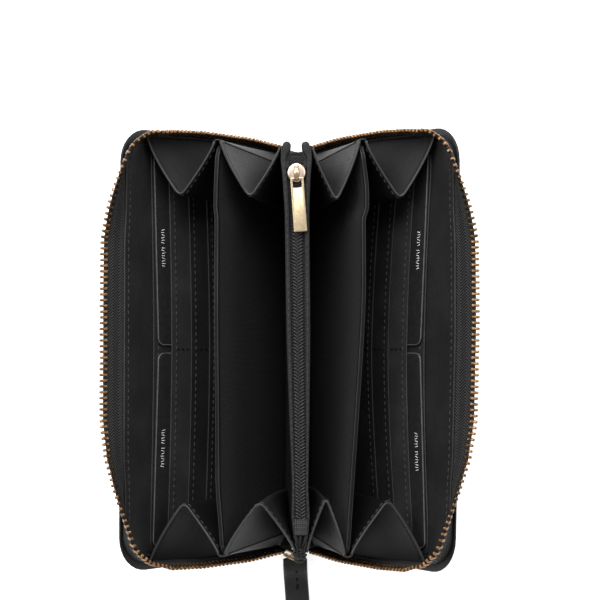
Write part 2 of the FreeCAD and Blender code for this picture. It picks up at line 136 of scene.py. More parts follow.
# Stitching: one stitch's length and spacing, its thread's radius, and where the rows run
STITCH = 2.3
STITCH_PITCH = 3.1
THREAD = 0.26
STITCH_RISE = 0.06
COVER_STITCH_INSET = 3.2
INNER_STITCH_INSET = 2.3
SLOT_STITCH_DROP = 2.6


# Node materials

def smooth(value):
    """Eases from 0 to 1."""
    value = min(max(value, 0.0), 1.0)
    return value * value * (3 - 2 * value)


class Shader:
    """A Principled material with short ways to add texture nodes."""

    def __init__(self, name, roughness, metallic=0.0, specular=0.5):
        self.material = bpy.data.materials.new(name)
        self.material.use_nodes = True
        self.tree = self.material.node_tree
        self.principled = self.tree.nodes["Principled BSDF"]
        self.principled.inputs["Roughness"].default_value = roughness
        self.principled.inputs["Metallic"].default_value = metallic
        self.principled.inputs["Specular IOR Level"].default_value = specular

    def node(self, kind, **values):
        """Adds a node with the given settings."""
        made = self.tree.nodes.new(kind)
        for key, value in values.items():
            setattr(made, key, value)
        return made

    def link(self, source, target):
        self.tree.links.new(source, target)

    def place(self, scale=(1, 1, 1), metric=False):
        """Texture coordinates in metres: the rest position, or the piece's own length and width."""
        if metric:
            source = self.node("ShaderNodeUVMap", uv_map="Metric").outputs["UV"]
        else:
            source = self.node("ShaderNodeTexCoord").outputs["Object"]
        mapping = self.node("ShaderNodeMapping")
        mapping.inputs["Scale"].default_value = scale
        self.link(source, mapping.inputs["Vector"])
        return mapping.outputs["Vector"]

    def noise(self, place, scale, detail=4.0, roughness=0.55):
        """Cloudy noise, from 0 to 1."""
        made = self.node("ShaderNodeTexNoise")
        made.inputs["Scale"].default_value = scale
        made.inputs["Detail"].default_value = detail
        made.inputs["Roughness"].default_value = roughness
        self.link(place, made.inputs["Vector"])
        return made.outputs["Fac"]

    def cells(self, place, scale, feature="F1"):
        """Distance from the middle of scattered cells."""
        made = self.node("ShaderNodeTexVoronoi", feature=feature)
        made.inputs["Scale"].default_value = scale
        self.link(place, made.inputs["Vector"])
        return made.outputs["Distance"]

    def math(self, operation, first, second=None):
        """One sum over values or other nodes' outputs."""
        made = self.node("ShaderNodeMath", operation=operation)
        for socket, value in zip(made.inputs, (first, second)):
            if value is None:
                continue
            if isinstance(value, (int, float)):
                socket.default_value = value
            else:
                self.link(value, socket)
        return made.outputs["Value"]

    def weighted(self, first, first_weight, second, second_weight):
        """The weighted sum of two values."""
        return self.math(
            "ADD", self.math("MULTIPLY", first, first_weight), self.math("MULTIPLY", second, second_weight))

    def sheen(self):
        """The faint sheen of cloth."""
        self.principled.inputs["Sheen Weight"].default_value = 0.03
        self.principled.inputs["Sheen Roughness"].default_value = 0.4

    def ramp(self, factor, stops):
        """Colours that follow a factor through stops."""
        made = self.node("ShaderNodeValToRGB")
        elements = made.color_ramp.elements
        while len(elements) < len(stops):
            elements.new(0.5)
        for element, (position, colour) in zip(elements, stops):
            element.position = position
            element.color = (*colour, 1.0)
        self.link(factor, made.inputs["Fac"])
        return made.outputs["Color"]

    def colour(self, factor, stops):
        """Colours the material by a factor."""
        self.link(self.ramp(factor, stops), self.principled.inputs["Base Color"])

    def rough(self, factor, low, high):
        """Makes the roughness follow a factor."""
        made = self.node("ShaderNodeMapRange")
        made.inputs["To Min"].default_value = low
        made.inputs["To Max"].default_value = high
        self.link(factor, made.inputs["Value"])
        self.link(made.outputs["Result"], self.principled.inputs["Roughness"])

    def bump(self, height, distance, strength=1.0, after=None):
        """Raises the surface by a height, on top of an earlier bump if there is one."""
        made = self.node("ShaderNodeBump")
        made.inputs["Distance"].default_value = distance
        made.inputs["Strength"].default_value = strength
        self.link(height, made.inputs["Height"])
        if after is not None:
            self.link(after, made.inputs["Normal"])
        self.link(made.outputs["Normal"], self.principled.inputs["Normal"])
        return made.outputs["Normal"]


def grey(value, warmth=0.0):
    """A grey of one brightness, redder by its warmth."""
    return (value * (1 + warmth), value, value * (1 - 0.6 * warmth))


def leather(name, tone, grain, roughness, specular=0.30):
    """Black leather: fine pebbled grain over soft creases, with paler rubbed patches."""
    shader = Shader(name, roughness, specular=specular)
    place = shader.place()
    patches = shader.noise(place, 55.0, 5.0)
    pebbles = shader.cells(place, 1500.0, "SMOOTH_F1")
    pores = shader.noise(place, 2600.0, 2.0)
    creases = shader.noise(shader.place((1.0, 0.35, 1.0)), 140.0, 6.0, 0.6)
    shader.colour(
        shader.weighted(patches, 0.7, pores, 0.3),
        [(0.30, grey(tone * 0.72)), (0.52, grey(tone)), (0.72, grey(tone * 1.5, 0.03))])
    shader.rough(patches, roughness - 0.07, roughness + 0.09)
    relief = shader.bump(creases, 0.0006, 0.55)
    height = shader.math("ADD", pebbles, shader.math("MULTIPLY", pores, 0.35))
    shader.bump(height, 0.00012 * grain, 0.8, relief)
    shader.principled.inputs["Coat Weight"].default_value = 0.1 * specular
    shader.principled.inputs["Coat Roughness"].default_value = 0.3
    return shader.material


def woven(name, tone, pitch, roughness=0.75):
    """Plain woven lining cloth: two sets of threads crossing, on the piece's own length and width."""
    shader = Shader(name, roughness, specular=0.15)
    place = shader.place(metric=True)
    threads = []
    for direction in ("X", "Y"):
        wave = shader.node("ShaderNodeTexWave", bands_direction=direction)
        wave.inputs["Scale"].default_value = 0.314 / pitch
        wave.inputs["Distortion"].default_value = 0.35
        wave.inputs["Detail"].default_value = 2.0
        shader.link(place, wave.inputs["Vector"])
        threads.append(wave.outputs["Fac"])
    weave = shader.math("MULTIPLY", threads[0], threads[1])
    slubs = shader.noise(shader.place((1, 5, 1), metric=True), 300.0, 4.0)
    shader.colour(
        shader.weighted(weave, 0.6, slubs, 0.5),
        [(0.15, grey(tone * 0.4)), (0.5, grey(tone)), (0.85, grey(tone * 1.9))])
    relief = shader.bump(slubs, 0.0002, 0.3)
    shader.bump(weave, 0.0002, 0.7, relief)
    shader.sheen()
    return shader.material


def herringbone(name, tone):
    """Zip tape: slanted ribs that turn back every few millimetres across its width."""
    shader = Shader(name, 0.62, specular=0.22)
    place = shader.place(metric=True)
    split = shader.node("ShaderNodeSeparateXYZ")
    shader.link(place, split.inputs["Vector"])
    stripe = 0.0026
    rib = 0.0013
    zigzag = shader.math("PINGPONG", split.outputs["Y"], stripe)
    slant = shader.math("ADD", split.outputs["X"], zigzag)
    ribs = shader.math("SINE", shader.math("MULTIPLY", slant, 2 * math.pi / rib))
    fine = shader.noise(place, 2500.0, 3.0)
    height = shader.math("ADD", shader.math("MULTIPLY", ribs, 0.5), 0.5)
    shader.colour(
        shader.weighted(height, 0.6, fine, 0.4),
        [(0.2, grey(tone * 0.2)), (0.5, grey(tone * 0.9)), (0.85, grey(tone * 3.2))])
    shader.bump(height, 0.0004, 0.9)
    shader.sheen()
    return shader.material


def thread_material(name, low, high):
    """Waxed thread with a twist."""
    shader = Shader(name, 0.55, specular=0.2)
    twist = shader.noise(shader.place(), 2200.0, 3.0)
    shader.colour(twist, [(0.3, grey(low)), (0.7, grey(high))])
    shader.bump(twist, 0.0002, 0.6)
    return shader.material


def metal(name, low, high, roughness, scratch=0.5):
    """Plated metal with faint scratches and darker handled patches."""
    shader = Shader(name, roughness, metallic=1.0)
    place = shader.place()
    patches = shader.noise(place, 700.0, 4.0)
    scratches = shader.noise(shader.place((1.0, 9.0, 1.0)), 1800.0, 3.0)
    shader.colour(patches, [(0.35, low), (0.62, high)])
    shader.rough(patches, roughness + 0.08, roughness - 0.05)
    shader.bump(scratches, 0.00004, scratch)
    return shader.material


def plastic(name, tone, roughness):
    """Moulded or printed plastic with a faint mottle."""
    shader = Shader(name, roughness, specular=0.5)
    place = shader.place()
    mottle = shader.noise(place, 420.0, 3.0)
    shader.colour(mottle, [(0.35, grey(tone * 0.85)), (0.65, grey(tone * 1.15))])
    shader.rough(mottle, roughness - 0.05, roughness + 0.06)
    shader.bump(shader.noise(place, 3000.0, 2.0), 0.00003, 0.4)
    return shader.material


def board_material():
    """Grey-brown paper board."""
    shader = Shader("paper_board", 0.9, specular=0.2)
    fibres = shader.noise(shader.place((1, 3, 1)), 900.0, 5.0)
    shader.colour(fibres, [(0.3, (0.16, 0.135, 0.105)), (0.7, (0.3, 0.26, 0.21))])
    shader.bump(fibres, 0.0001, 0.5)
    return shader.material


def floor_material():
    """White paper lit a little from behind, so that it stays white round the wallet."""
    shader = Shader("floor", 0.95, specular=0.1)
    speckle = shader.noise(shader.place(), 30.0, 2.0)
    shader.colour(speckle, [(0.3, grey(0.93)), (0.7, grey(0.96))])
    shader.principled.inputs["Emission Color"].default_value = (1.0, 1.0, 1.0, 1.0)
    shader.principled.inputs["Emission Strength"].default_value = 0.75
    return shader.material


MATERIALS = {
    "outer": leather("outer_leather", 0.010, 1.0, 0.50),
    "inner": leather("inner_leather", 0.0105, 0.7, 0.50),
    # Slot leathers: lighter copies of the inner leather, painted light falling into the slots, the front
    # slot's copy lightest
    "slot": leather("slot_leather", 0.017, 0.7, 0.50),
    "lit_front_slot": leather("lit_front_slot_leather", 0.030, 0.7, 0.50),
    # The outer gusset leather is a darker copy of the gusset leather: painted shade on the outer gussets and
    # divider bindings
    "gusset": leather("gusset_leather", 0.022, 0.6, 0.60, 0.20),
    "outer_gusset": leather("shaded_outer_gusset_leather", 0.0085, 0.6, 0.50, 0.10),
    "facing": leather("facing_leather", 0.026, 0.6, 0.48),
    # Edge leather: lighter than the other leathers, partly the edges' own paint, partly a painted highlight
    # where turned edges catch the light
    "edge": leather("edge_leather", 0.024, 0.5, 0.40),
    "strap": leather("strap_leather", 0.029, 0.9, 0.48),
    "lining": woven("lining_cloth", 0.018, 0.00055),
    "tape": herringbone("zip_tape_weave", 0.014),
    "coin_tape": herringbone("coin_tape_weave", 0.012),
    "hem": leather("hem_leather", 0.034, 0.4, 0.42),
    "thread": thread_material("thread", 0.02, 0.06),
    "dark_thread": thread_material("dark_thread", 0.003, 0.008),
    "brass": metal("antique_brass", (0.13, 0.07, 0.034), (0.38, 0.225, 0.115), 0.40),
    "gold": metal("pale_gold", (0.64, 0.49, 0.30), (0.79, 0.65, 0.44), 0.30, 0.3),
    "rose_gold": metal("rose_gold", (0.72, 0.54, 0.42), (0.88, 0.72, 0.60), 0.30, 0.3),
    "old_gold": metal("old_gold", (0.45, 0.30, 0.14), (0.80, 0.60, 0.36), 0.30, 0.3),
    "stop": woven("stop_cloth", 0.045, 0.0009),
    "coil": plastic("coil_nylon", 0.030, 0.42),
    "card": plastic("card_plastic", 0.012, 0.46),
    "card_rim_highlight": plastic("card_rim_highlight_plastic", 0.10, 0.4),
    "print": plastic("card_print", 0.80, 0.5),
    "board": board_material(),
}


# Mesh tools

def add_piece(name, vertices, faces, material, uv=None):
    """Makes a smooth-shaded mesh object from millimetre vertices."""
    mesh = bpy.data.meshes.new(name)
    mesh.from_pydata([tuple(c * MM for c in vertex) for vertex in vertices], [], faces)
    mesh.polygons.foreach_set("use_smooth", [True] * len(mesh.polygons))
    mesh.materials.append(MATERIALS[material])
    if uv is not None:
        layer = mesh.uv_layers.new(name="Metric")
        loops = np.zeros(len(mesh.loops), int)
        mesh.loops.foreach_get("vertex_index", loops)
        layer.data.foreach_set("uv", (np.array(uv)[loops] * MM).ravel())
    mesh.update()
    piece = bpy.data.objects.new(name, mesh)
    bpy.context.scene.collection.objects.link(piece)
    return piece


def grid_normals(points):
    """The direction in which a grid of points faces at each of them."""
    along = np.gradient(points, axis=0)
    across = np.gradient(points, axis=1)
    normals = np.cross(along, across)
    return normals / np.maximum(np.linalg.norm(normals, axis=2, keepdims=True), 1e-9)


def band(first, second):
    """Faces between two rings of vertex numbers, closed on themselves."""
    count = len(first)
    faces = []
    for k in range(count):
        following = (k + 1) % count
        faces.append([first[k], first[following], second[following], second[k]])
    return faces


def mesh_parts(work):
    """Vertices and faces of a working mesh, which is let go."""
    work.verts.index_update()
    vertices = [vertex.co.copy() for vertex in work.verts]
    faces = [[vertex.index for vertex in face.verts] for face in work.faces]
    work.free()
    return vertices, faces


def box_mesh(size):
    """A working mesh of a box about the origin."""
    work = bmesh.new()
    bmesh.ops.create_cube(work, size=1.0)
    bmesh.ops.scale(work, vec=Vector(size), verts=work.verts)
    return work


def sheet_border(rows, columns):
    """Row and column of every point round a grid's edge, in order."""
    border = [(0, j) for j in range(columns)]
    border += [(i, columns - 1) for i in range(1, rows)]
    border += [(rows - 1, j) for j in range(columns - 2, -1, -1)]
    border += [(i, 0) for i in range(rows - 2, 0, -1)]
    return border


def sheet_data(points, thickness, uv):
    """Vertices, faces and UVs of a closed sheet with rounded edges round a grid of middle points."""
    points = np.asarray(points, float)
    uv = np.asarray(uv, float)
    rows, columns = points.shape[:2]
    normals = grid_normals(points)
    half = thickness / 2
    border = sheet_border(rows, columns)
    ring, ring_normals, ring_uv = (
        np.array([values[i, j] for i, j in border]) for values in (points, normals, uv))
    tangent = np.roll(ring, -1, axis=0) - np.roll(ring, 1, axis=0)
    outward = np.cross(ring_normals, tangent)
    outward /= np.maximum(np.linalg.norm(outward, axis=1, keepdims=True), 1e-9)
    inward_step = points[min(1, rows - 1), columns // 2] - points[0, columns // 2]
    if np.dot(outward[columns // 2], inward_step) > 0:
        outward = -outward
    vertices = [(points + normals * side).reshape(-1, 3) for side in (half, -half)]
    uvs = [uv.reshape(-1, 2), uv.reshape(-1, 2)]
    for degrees in (45, 90, 135):
        angle = math.radians(degrees)
        vertices.append(ring + outward * half * math.sin(angle) + ring_normals * half * math.cos(angle))
        uvs.append(ring_uv)
    count = rows * columns
    size = len(border)
    faces = []
    for i in range(rows - 1):
        for j in range(columns - 1):
            a = i * columns + j
            quad = [a, a + columns, a + columns + 1, a + 1]
            faces.append(quad)
            faces.append([index + count for index in reversed(quad)])
    front = [i * columns + j for i, j in border]
    levels = [front]
    levels += [[2 * count + level * size + k for k in range(size)] for level in range(3)]
    levels.append([index + count for index in front])
    for upper, lower in zip(levels, levels[1:]):
        faces += band(upper, lower)
    return np.concatenate(vertices), faces, np.concatenate(uvs)


def face_outward(piece):
    """Turns every closed shell of a piece the right way out."""
    work = bmesh.new()
    work.from_mesh(piece.data)
    bmesh.ops.recalc_face_normals(work, faces=work.faces)
    work.to_mesh(piece.data)
    work.free()
    return piece


def sheet(name, points, thickness, material, uv):
    """A closed sheet with rounded edges, as a piece."""
    vertices, faces, marks = sheet_data(points, thickness, uv)
    return face_outward(add_piece(name, vertices, faces, material, marks))


def sheet_weights(grid):
    """A weight for each vertex of a sheet from the weights of its grid."""
    grid = np.array(grid, float)
    ring = np.concatenate([grid[0], grid[1:, -1], grid[-1, -2::-1], grid[-2:0:-1, 0]])
    return np.concatenate([grid.ravel(), grid.ravel(), ring, ring, ring])


class Cluster:
    """Many small shells gathered into one piece."""

    def __init__(self):
        self.vertices = []
        self.faces = []
        self.weights = []

    def add(self, vertices, faces, weight=0.0):
        """Adds a shell, whose vertices all share a weight."""
        start = len(self.vertices)
        self.vertices.extend(tuple(vertex) for vertex in vertices)
        self.faces.extend([index + start for index in face] for face in faces)
        self.weights.extend([weight] * len(vertices))

    def piece(self, name, material):
        """All the shells as one piece."""
        return face_outward(add_piece(name, self.vertices, self.faces, material))


def tube_data(path, radius, sections=8, flat=1.0, up=Vector((0, 0, 1)), closed=False):
    """A round or flattened tube along points, capped unless closed. Radius may change along it."""
    count = len(path)
    path = [Vector(point) for point in path]
    radii = radius if isinstance(radius, (list, tuple)) else [radius] * count
    vertices = []
    for index, point in enumerate(path):
        ahead = path[(index + 1) % count] if closed else path[min(index + 1, count - 1)]
        behind = path[index - 1] if closed else path[max(index - 1, 0)]
        tangent = (ahead - behind).normalized()
        side = tangent.cross(up)
        if side.length < 1e-4:
            side = tangent.orthogonal()
        side.normalize()
        top = side.cross(tangent).normalized()
        for k in range(sections):
            angle = 2 * math.pi * k / sections
            offset = side * math.cos(angle) + top * (math.sin(angle) * flat)
            vertices.append(point + offset * radii[index])
    rings = [range(index * sections, (index + 1) * sections) for index in range(count)]
    faces = []
    for here, there in zip(rings, rings[1:] + rings[:1] if closed else rings[1:]):
        faces += band(here, there)
    if not closed:
        faces += [list(rings[0]), list(reversed(rings[-1]))]
    return vertices, faces


def rounded_box_data(size, radius, segments=3):
    """A box about the origin with rounded edges."""
    work = box_mesh(size)
    bmesh.ops.bevel(
        work, geom=list(work.edges), offset=radius, segments=segments, profile=0.5, affect="EDGES")
    return mesh_parts(work)


def placed(vertices, matrix):
    """Vertices moved by a matrix."""
    return [matrix @ Vector(vertex) for vertex in vertices]


def axes_matrix(origin, x_axis, y_axis, z_axis):
    """The matrix that carries the origin and axes to the given ones."""
    return Matrix((
        (x_axis.x, y_axis.x, z_axis.x, origin.x),
        (x_axis.y, y_axis.y, z_axis.y, origin.y),
        (x_axis.z, y_axis.z, z_axis.z, origin.z),
        (0, 0, 0, 1)))


STITCH_SHAPE = tube_data(
    [Vector((STITCH * (share - 0.5), 0, 0.14 - 0.5 * (2 * share - 1) ** 2)) for share in
     (0.0, 0.08, 0.3, 0.5, 0.7, 0.92, 1.0)],
    [THREAD * 0.45, THREAD * 0.8, THREAD, THREAD, THREAD, THREAD * 0.8, THREAD * 0.45], 6)


def add_stitches(cluster, path, normals, weights=None):
    """A row of single stitches along a line on a surface."""
    path = [Vector(point) for point in path]
    normals = [Vector(normal).normalized() for normal in normals]
    travelled = [0.0]
    for a, b in zip(path, path[1:]):
        travelled.append(travelled[-1] + (b - a).length)
    distance = STITCH_PITCH / 2
    step = 0
    while distance < travelled[-1] - STITCH_PITCH / 2:
        while travelled[step + 1] < distance:
            step += 1
        share = (distance - travelled[step]) / (travelled[step + 1] - travelled[step])
        point = path[step].lerp(path[step + 1], share)
        normal = normals[step].lerp(normals[step + 1], share).normalized()
        tangent = (path[step + 1] - path[step]).normalized()
        side = normal.cross(tangent).normalized()
        matrix = axes_matrix(point, tangent, side, normal)
        weight = 0.0
        if weights is not None:
            weight = weights[step] * (1 - share) + weights[step + 1] * share
        cluster.add(placed(STITCH_SHAPE[0], matrix), STITCH_SHAPE[1], weight)
        distance += STITCH_PITCH


def tube_piece(name, material, path, radius, sections=8, **shape):
    """One tube along a path, as a piece of its own."""
    tube = Cluster()
    tube.add(*tube_data(path, radius, sections, **shape))
    return tube.piece(name, material)


def stitch_piece(name, path, normal):
    """One row of stitches that all stand the same way, as a piece of its own."""
    stitches = Cluster()
    add_stitches(stitches, path, [normal] * len(path))
    return stitches.piece(name, "thread")


def surface(rows, columns, at):
    """Points and UVs of a grid, both from at(row, column)."""
    cells = [[at(row, column) for column in columns] for row in rows]
    points = [[point for point, _ in line] for line in cells]
    marks = [[mark for _, mark in line] for line in cells]
    return points, marks


def node_box(node):
    """Lowest and highest corners of a CAD node, in millimetres."""
    return [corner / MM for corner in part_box(node)]


def joint_place(name):
    """Where a joint is, in millimetres."""
    return Vector([value / MM for value in joints[name]["pos_m"]])


def bend(piece, near, far, weights):
    """Bakes a piece's placement into its mesh. The two bodies, near and far, are not used, and the shares of
    the turn are read but not applied.
    """
    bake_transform(piece)
    values = np.asarray(weights, np.float32)


# Panels

class Panel:
    """The plane of a cover or divider: depth outward from the fold line, y, and height from it."""

    def __init__(self, side, joint, twist, height):
        fold = joints[joint]
        self.twist = twist
        self.height = height
        self.side = side
        self.sign = SIDES[side]
        self.lean = math.radians(fold["range_deg"][1])
        self.x = abs(fold["pos_m"][0]) / MM
        self.z = fold["pos_m"][2] / MM

    def at(self, depth, y, height):
        sine = math.sin(self.lean)
        cosine = math.cos(self.lean)
        depth += self.twist(self.side, y) * height / self.height
        x = self.x + height * sine + depth * cosine
        return Vector((self.sign * x, y, self.z + height * cosine - depth * sine))

    def share(self, y):
        """Share of the fold that a line across the panel makes, so its twist is gone when closed."""
        return min(1.0, 1 + math.atan(self.twist(self.side, y) / self.height) / self.lean)

    def inward(self):
        """The direction from the panel towards the middle of the wallet."""
        return Vector((-self.sign * math.cos(self.lean), 0, math.sin(self.lean)))

    def extent(self, node):
        """Lowest and highest depth, y and height of a CAD node."""
        corners = np.array([vertex.co for vertex in frame["nodes"][node].data.vertices]) / MM
        x = self.sign * corners[:, 0] - self.x
        z = corners[:, 2] - self.z
        sine = math.sin(self.lean)
        cosine = math.cos(self.lean)
        local = np.stack([x * cosine - z * sine, corners[:, 1], x * sine + z * cosine], axis=1)
        return local.min(0), local.max(0)


def cover_twist(side, y):
    """The right cover stands a little steeper towards the slider's end."""
    return 0.03 * min(y - 8, 0.0) if side == "right" else 0.0


def divider_twist(side, y):
    """Both dividers lean in towards the gathered end of the coin pocket, the right one more."""
    if side == "right":
        return -6.6 * max(0.0, (25 - y) / 112) ** 1.2
    return -2.2 * smooth((-y - 55) / 35)


COVERS = {side: Panel(side, side + "_cover_fold", cover_twist, 97.0) for side in SIDES}
DIVIDERS = {side: Panel(side, side + "_divider_fold", divider_twist, 78.0) for side in SIDES}


def turn_page(piece, side):
    """Works out each vertex's share of a divider's fold, less where the divider already leans in, and bakes
    the piece in place without applying the shares.
    """
    shares = [DIVIDERS[side].share(vertex.co.y / MM) for vertex in piece.data.vertices]
    bend(piece, "root", side + "_divider", shares)


def outline_rows(foot, top, half, corner, straight_rows, corner_rows=8):
    """Heights of a panel's rows with its half length at each, round at the top corners."""
    shoulder = top - corner
    rows = [(foot + (shoulder - foot) * i / straight_rows, half) for i in range(straight_rows + 1)]
    for i in range(1, corner_rows + 1):
        angle = math.pi / 2 * i / corner_rows
        rows.append((shoulder + corner * math.sin(angle), half - corner + corner * math.cos(angle)))
    return rows


def panel_grid(panel, rows, columns, depth, lift=None, middle=0.0):
    """Points and UVs over rows of a panel. Lift gives extra depth and height by y and height."""
    def at(row, share):
        height, half = row
        y = middle + half * share
        extra_depth, extra_height = lift(y, height) if lift else (0.0, 0.0)
        return panel.at(depth + extra_depth, y, height + extra_height), (y, height)

    return surface(rows, [2 * j / (columns - 1) - 1 for j in range(columns)], at)


def edge_path(panel, rows, depth, inset=0.0, lift=None, middle=0.0):
    """A line round a panel's free edges, from one foot over the top to the other."""
    def point(height, y):
        extra_depth, extra_height = lift(y, height) if lift else (0.0, 0.0)
        return panel.at(depth + extra_depth, y, height + extra_height)

    top = rows[-1][0] - inset
    kept = [(height, half - inset) for height, half in rows if height < top]
    end_half = kept[-1][1]
    path = [point(height, middle - half) for height, half in kept]
    steps = 40
    path += [point(top, middle + end_half * (2 * k / steps - 1)) for k in range(1, steps)]
    path += [point(height, middle + half) for height, half in reversed(kept)]
    return path


# Covers and spine

def spine_wrap(panel, thickness, half_length, columns):
    """Points, UVs and fold shares of the outer leather from mid-spine round the fold, and its run."""
    radius = panel.z - thickness / 2
    turn = math.pi / 2 - panel.lean
    flat_steps = 4
    arc_steps = 8
    end_notch = 2.4
    profile = [(panel.x * step / flat_steps, thickness / 2, 0.0) for step in range(flat_steps + 1)]
    for step in range(1, arc_steps):
        angle = turn * step / arc_steps
        x = panel.x + radius * math.sin(angle)
        profile.append((x, panel.z - radius * math.cos(angle), step / arc_steps))
    points = []
    uv = []
    shares = []
    run = 0.0
    for x, z, share in profile:
        half = half_length - end_notch * (1 - smooth(x / panel.x))
        ys = [half * (2 * j / (columns - 1) - 1) for j in range(columns)]
        points.append([Vector((panel.sign * x, y, z)) for y in ys])
        uv.append([(y, run) for y in ys])
        shares.append([share] * columns)
        run += panel.x / flat_steps if share == 0.0 else radius * turn / arc_steps
    return points, uv, shares, run


def outer_leather(side):
    """The outer leather from the middle of the spine round the fold and up the cover."""
    panel = COVERS[side]
    low, high = panel.extent(side + "_cover_leather")
    thickness = high[0] - low[0]
    columns = 61

    def lift(y, height):
        along = max(0.0, 1 - (y / high[1]) ** 4)
        up = smooth(height / 25) * smooth((high[2] - height) / 20)
        ripple = math.sin(y / 17 + height / 23) * math.sin(height / 14 + 1.0)
        return along * up * (0.7 + 0.18 * ripple), 0.0

    rows = outline_rows(0.0, high[2], high[1], COVER_CORNER, 22)
    points, uv, shares, run = spine_wrap(panel, thickness, high[1], columns)
    cover_points, cover_uv = panel_grid(panel, rows, columns, (low[0] + high[0]) / 2, lift)
    points += cover_points
    uv += [[(u, v + run) for u, v in line] for line in cover_uv]
    shares += [[1.0] * columns for _ in rows]
    piece = sheet(side + "_outer_leather", points, thickness, "outer", uv)
    bend(piece, "root", side + "_cover", sheet_weights(shares))
    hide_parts(side + "_cover_leather")
    if side == "left":
        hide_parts("spine_leather")
    path = edge_path(panel, rows, high[0], COVER_STITCH_INSET, lift)
    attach(stitch_piece(side + "_cover_stitching", path, -panel.inward()), side + "_cover")


def cover_board(side):
    """The paper board that stiffens a cover."""
    panel = COVERS[side]
    low, high = panel.extent(side + "_cover_board")
    inset = 1.0
    rows = outline_rows(low[2], high[2] - inset, high[1] - inset, COVER_CORNER - 4.0, 12)
    points, uv = panel_grid(panel, rows, 31, (low[0] + high[0]) / 2)
    board = sheet(side + "_cover_stiffener", points, BOARD_THICK, "board", uv)
    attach(board, side + "_cover")
    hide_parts(side + "_cover_board")


def inner_panel(side):
    """The smooth leather inside a cover, with a turned edge and a stitch line."""
    panel = COVERS[side]
    low, high = panel.extent(side + "_cover_lining")
    overlap = 0.2

    def lift(y, height):
        return 0.0, 0.9 * (1 - smooth((abs(y) - 45) / 18)) * smooth((height - 90) / 7)

    rows = outline_rows(low[2], high[2] + overlap, high[1] + overlap, COVER_CORNER - 2.7, 16)
    points, uv = panel_grid(panel, rows, 61, (low[0] + high[0]) / 2, lift)
    piece = sheet(side + "_inner_panel", points, high[0] - low[0], "inner", uv)
    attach(piece, side + "_cover")
    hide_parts(side + "_cover_lining")
    rim = edge_path(panel, rows, low[0] + 0.05, 0.25, lift)
    # The turned edge takes the lighter edge leather: partly edge paint, partly a painted highlight
    edge = tube_piece(side + "_inner_panel_edge", "edge", rim, INNER_EDGE, up=panel.inward())
    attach(edge, side + "_cover")
    path = edge_path(panel, rows, low[0] - STITCH_RISE, INNER_STITCH_INSET, lift)
    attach(stitch_piece(side + "_inner_panel_stitching", path, panel.inward()), side + "_cover")


def spine_lining():
    """The cloth strip along the inside of the spine."""
    low, high = node_box("spine_lining")
    end = high.y - 0.75

    def at(x, y):
        return (x, y, (low.z + high.z) / 2), (y, x)

    points, uv = surface(np.linspace(low.x, high.x, 7), np.linspace(-end, end, 41), at)
    piece = sheet("spine_inner_strip", points, high.z - low.z, "lining", uv)
    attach(piece, "root")
    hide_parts("spine_lining")


# Card slots and cards

def slot_hang(side, y, share=1.0):
    """Depth and height by which a slot gapes and hangs, from its ends to the middle of its length."""
    bow = max(0.0, 1 - abs(y / 76) ** 1.6)
    return -SLOT_GAPE[side] * bow * share, -SLOT_SAG[side] * bow * share


def slot_leather(side, name, hang, material, beads, stitches):
    """One slot with its turned mouth and stitch line. Returns its face's depth and top at mid-length."""
    panel = COVERS[side]
    inward = panel.inward()
    low, high = panel.extent(side + "_" + name)
    corner = 2.0

    def lift(y, height):
        gape, sag = slot_hang(side, y, hang)
        reach = smooth((height - low[2]) / (high[2] - low[2]))
        return gape * reach, sag * reach

    rows = outline_rows(low[2], high[2], high[1], corner, 14, 4)
    points, uv = panel_grid(panel, rows, 61, (low[0] + high[0]) / 2, lift)
    piece = sheet(side + "_" + name + "_leather", points, high[0] - low[0], material, uv)
    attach(piece, side + "_cover")
    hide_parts(side + "_" + name)
    ys = np.linspace(-high[1] + corner, high[1] - corner, 61)

    def line(drop, out):
        path = []
        for y in ys:
            gape, sag = lift(y, high[2])
            path.append(panel.at(low[0] - out + gape, y, high[2] - drop + sag))
        return path

    beads.add(*tube_data(line(0.1, -0.2), SLOT_EDGE, 8, up=inward))
    add_stitches(stitches, line(SLOT_STITCH_DROP, STITCH_RISE), [inward] * len(ys))
    gape, sag = lift(0.0, high[2])
    return low[0] - 0.08 + gape, high[2] + sag - 1.2


def card_slots(side):
    """Backing and three stepped slots, and the dark centre stitching that parts the cards."""
    panel = COVERS[side]
    beads = Cluster()
    stitches = Cluster()
    centre = Cluster()
    seams = [
        slot_leather(side, name, hang, material, beads, stitches)
        for name, hang, material in SLOT_LEVELS]
    foot = panel.extent(side + "_slot_lower")[0][2] + 4
    for depth, top in reversed(seams[1:]):
        path = [panel.at(depth, 0.0, height) for height in np.linspace(foot, top, 12)]
        add_stitches(centre, path, [panel.inward()] * len(path))
        foot = top + 2.0
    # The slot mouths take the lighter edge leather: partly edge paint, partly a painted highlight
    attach(beads.piece(side + "_slot_edges", "edge"), side + "_cover")
    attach(stitches.piece(side + "_slot_stitching", "thread"), side + "_cover")
    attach(centre.piece(side + "_slot_centre_stitching", "dark_thread"), side + "_cover")


def card_print(node, panel, depth, y, height, lift):
    """Two groups of short slanting strokes, in place of a card's lettering."""
    strokes = Cluster()
    vertices, faces = rounded_box_data((0.12, 0.30, 1.95), 0.04, 1)
    up = panel.at(0, 0, 1) - panel.at(0, 0, 0)
    spacing = 1.15
    for group in (8, 6):
        for index in range(group):
            level = height - 0.25 * (index % 2)
            gape, rise = lift(y, level)
            centre = panel.at(depth + gape, y, level + rise)
            slant = Matrix.Rotation(math.radians((-14, 0, 14)[index % 3]), 4, "X")
            matrix = axes_matrix(centre, panel.inward(), Vector((0, 1, 0)), up) @ slant
            strokes.add(placed(vertices, matrix), faces)
            y += spacing
        y += spacing
    return strokes.piece(node + "_print", "print")


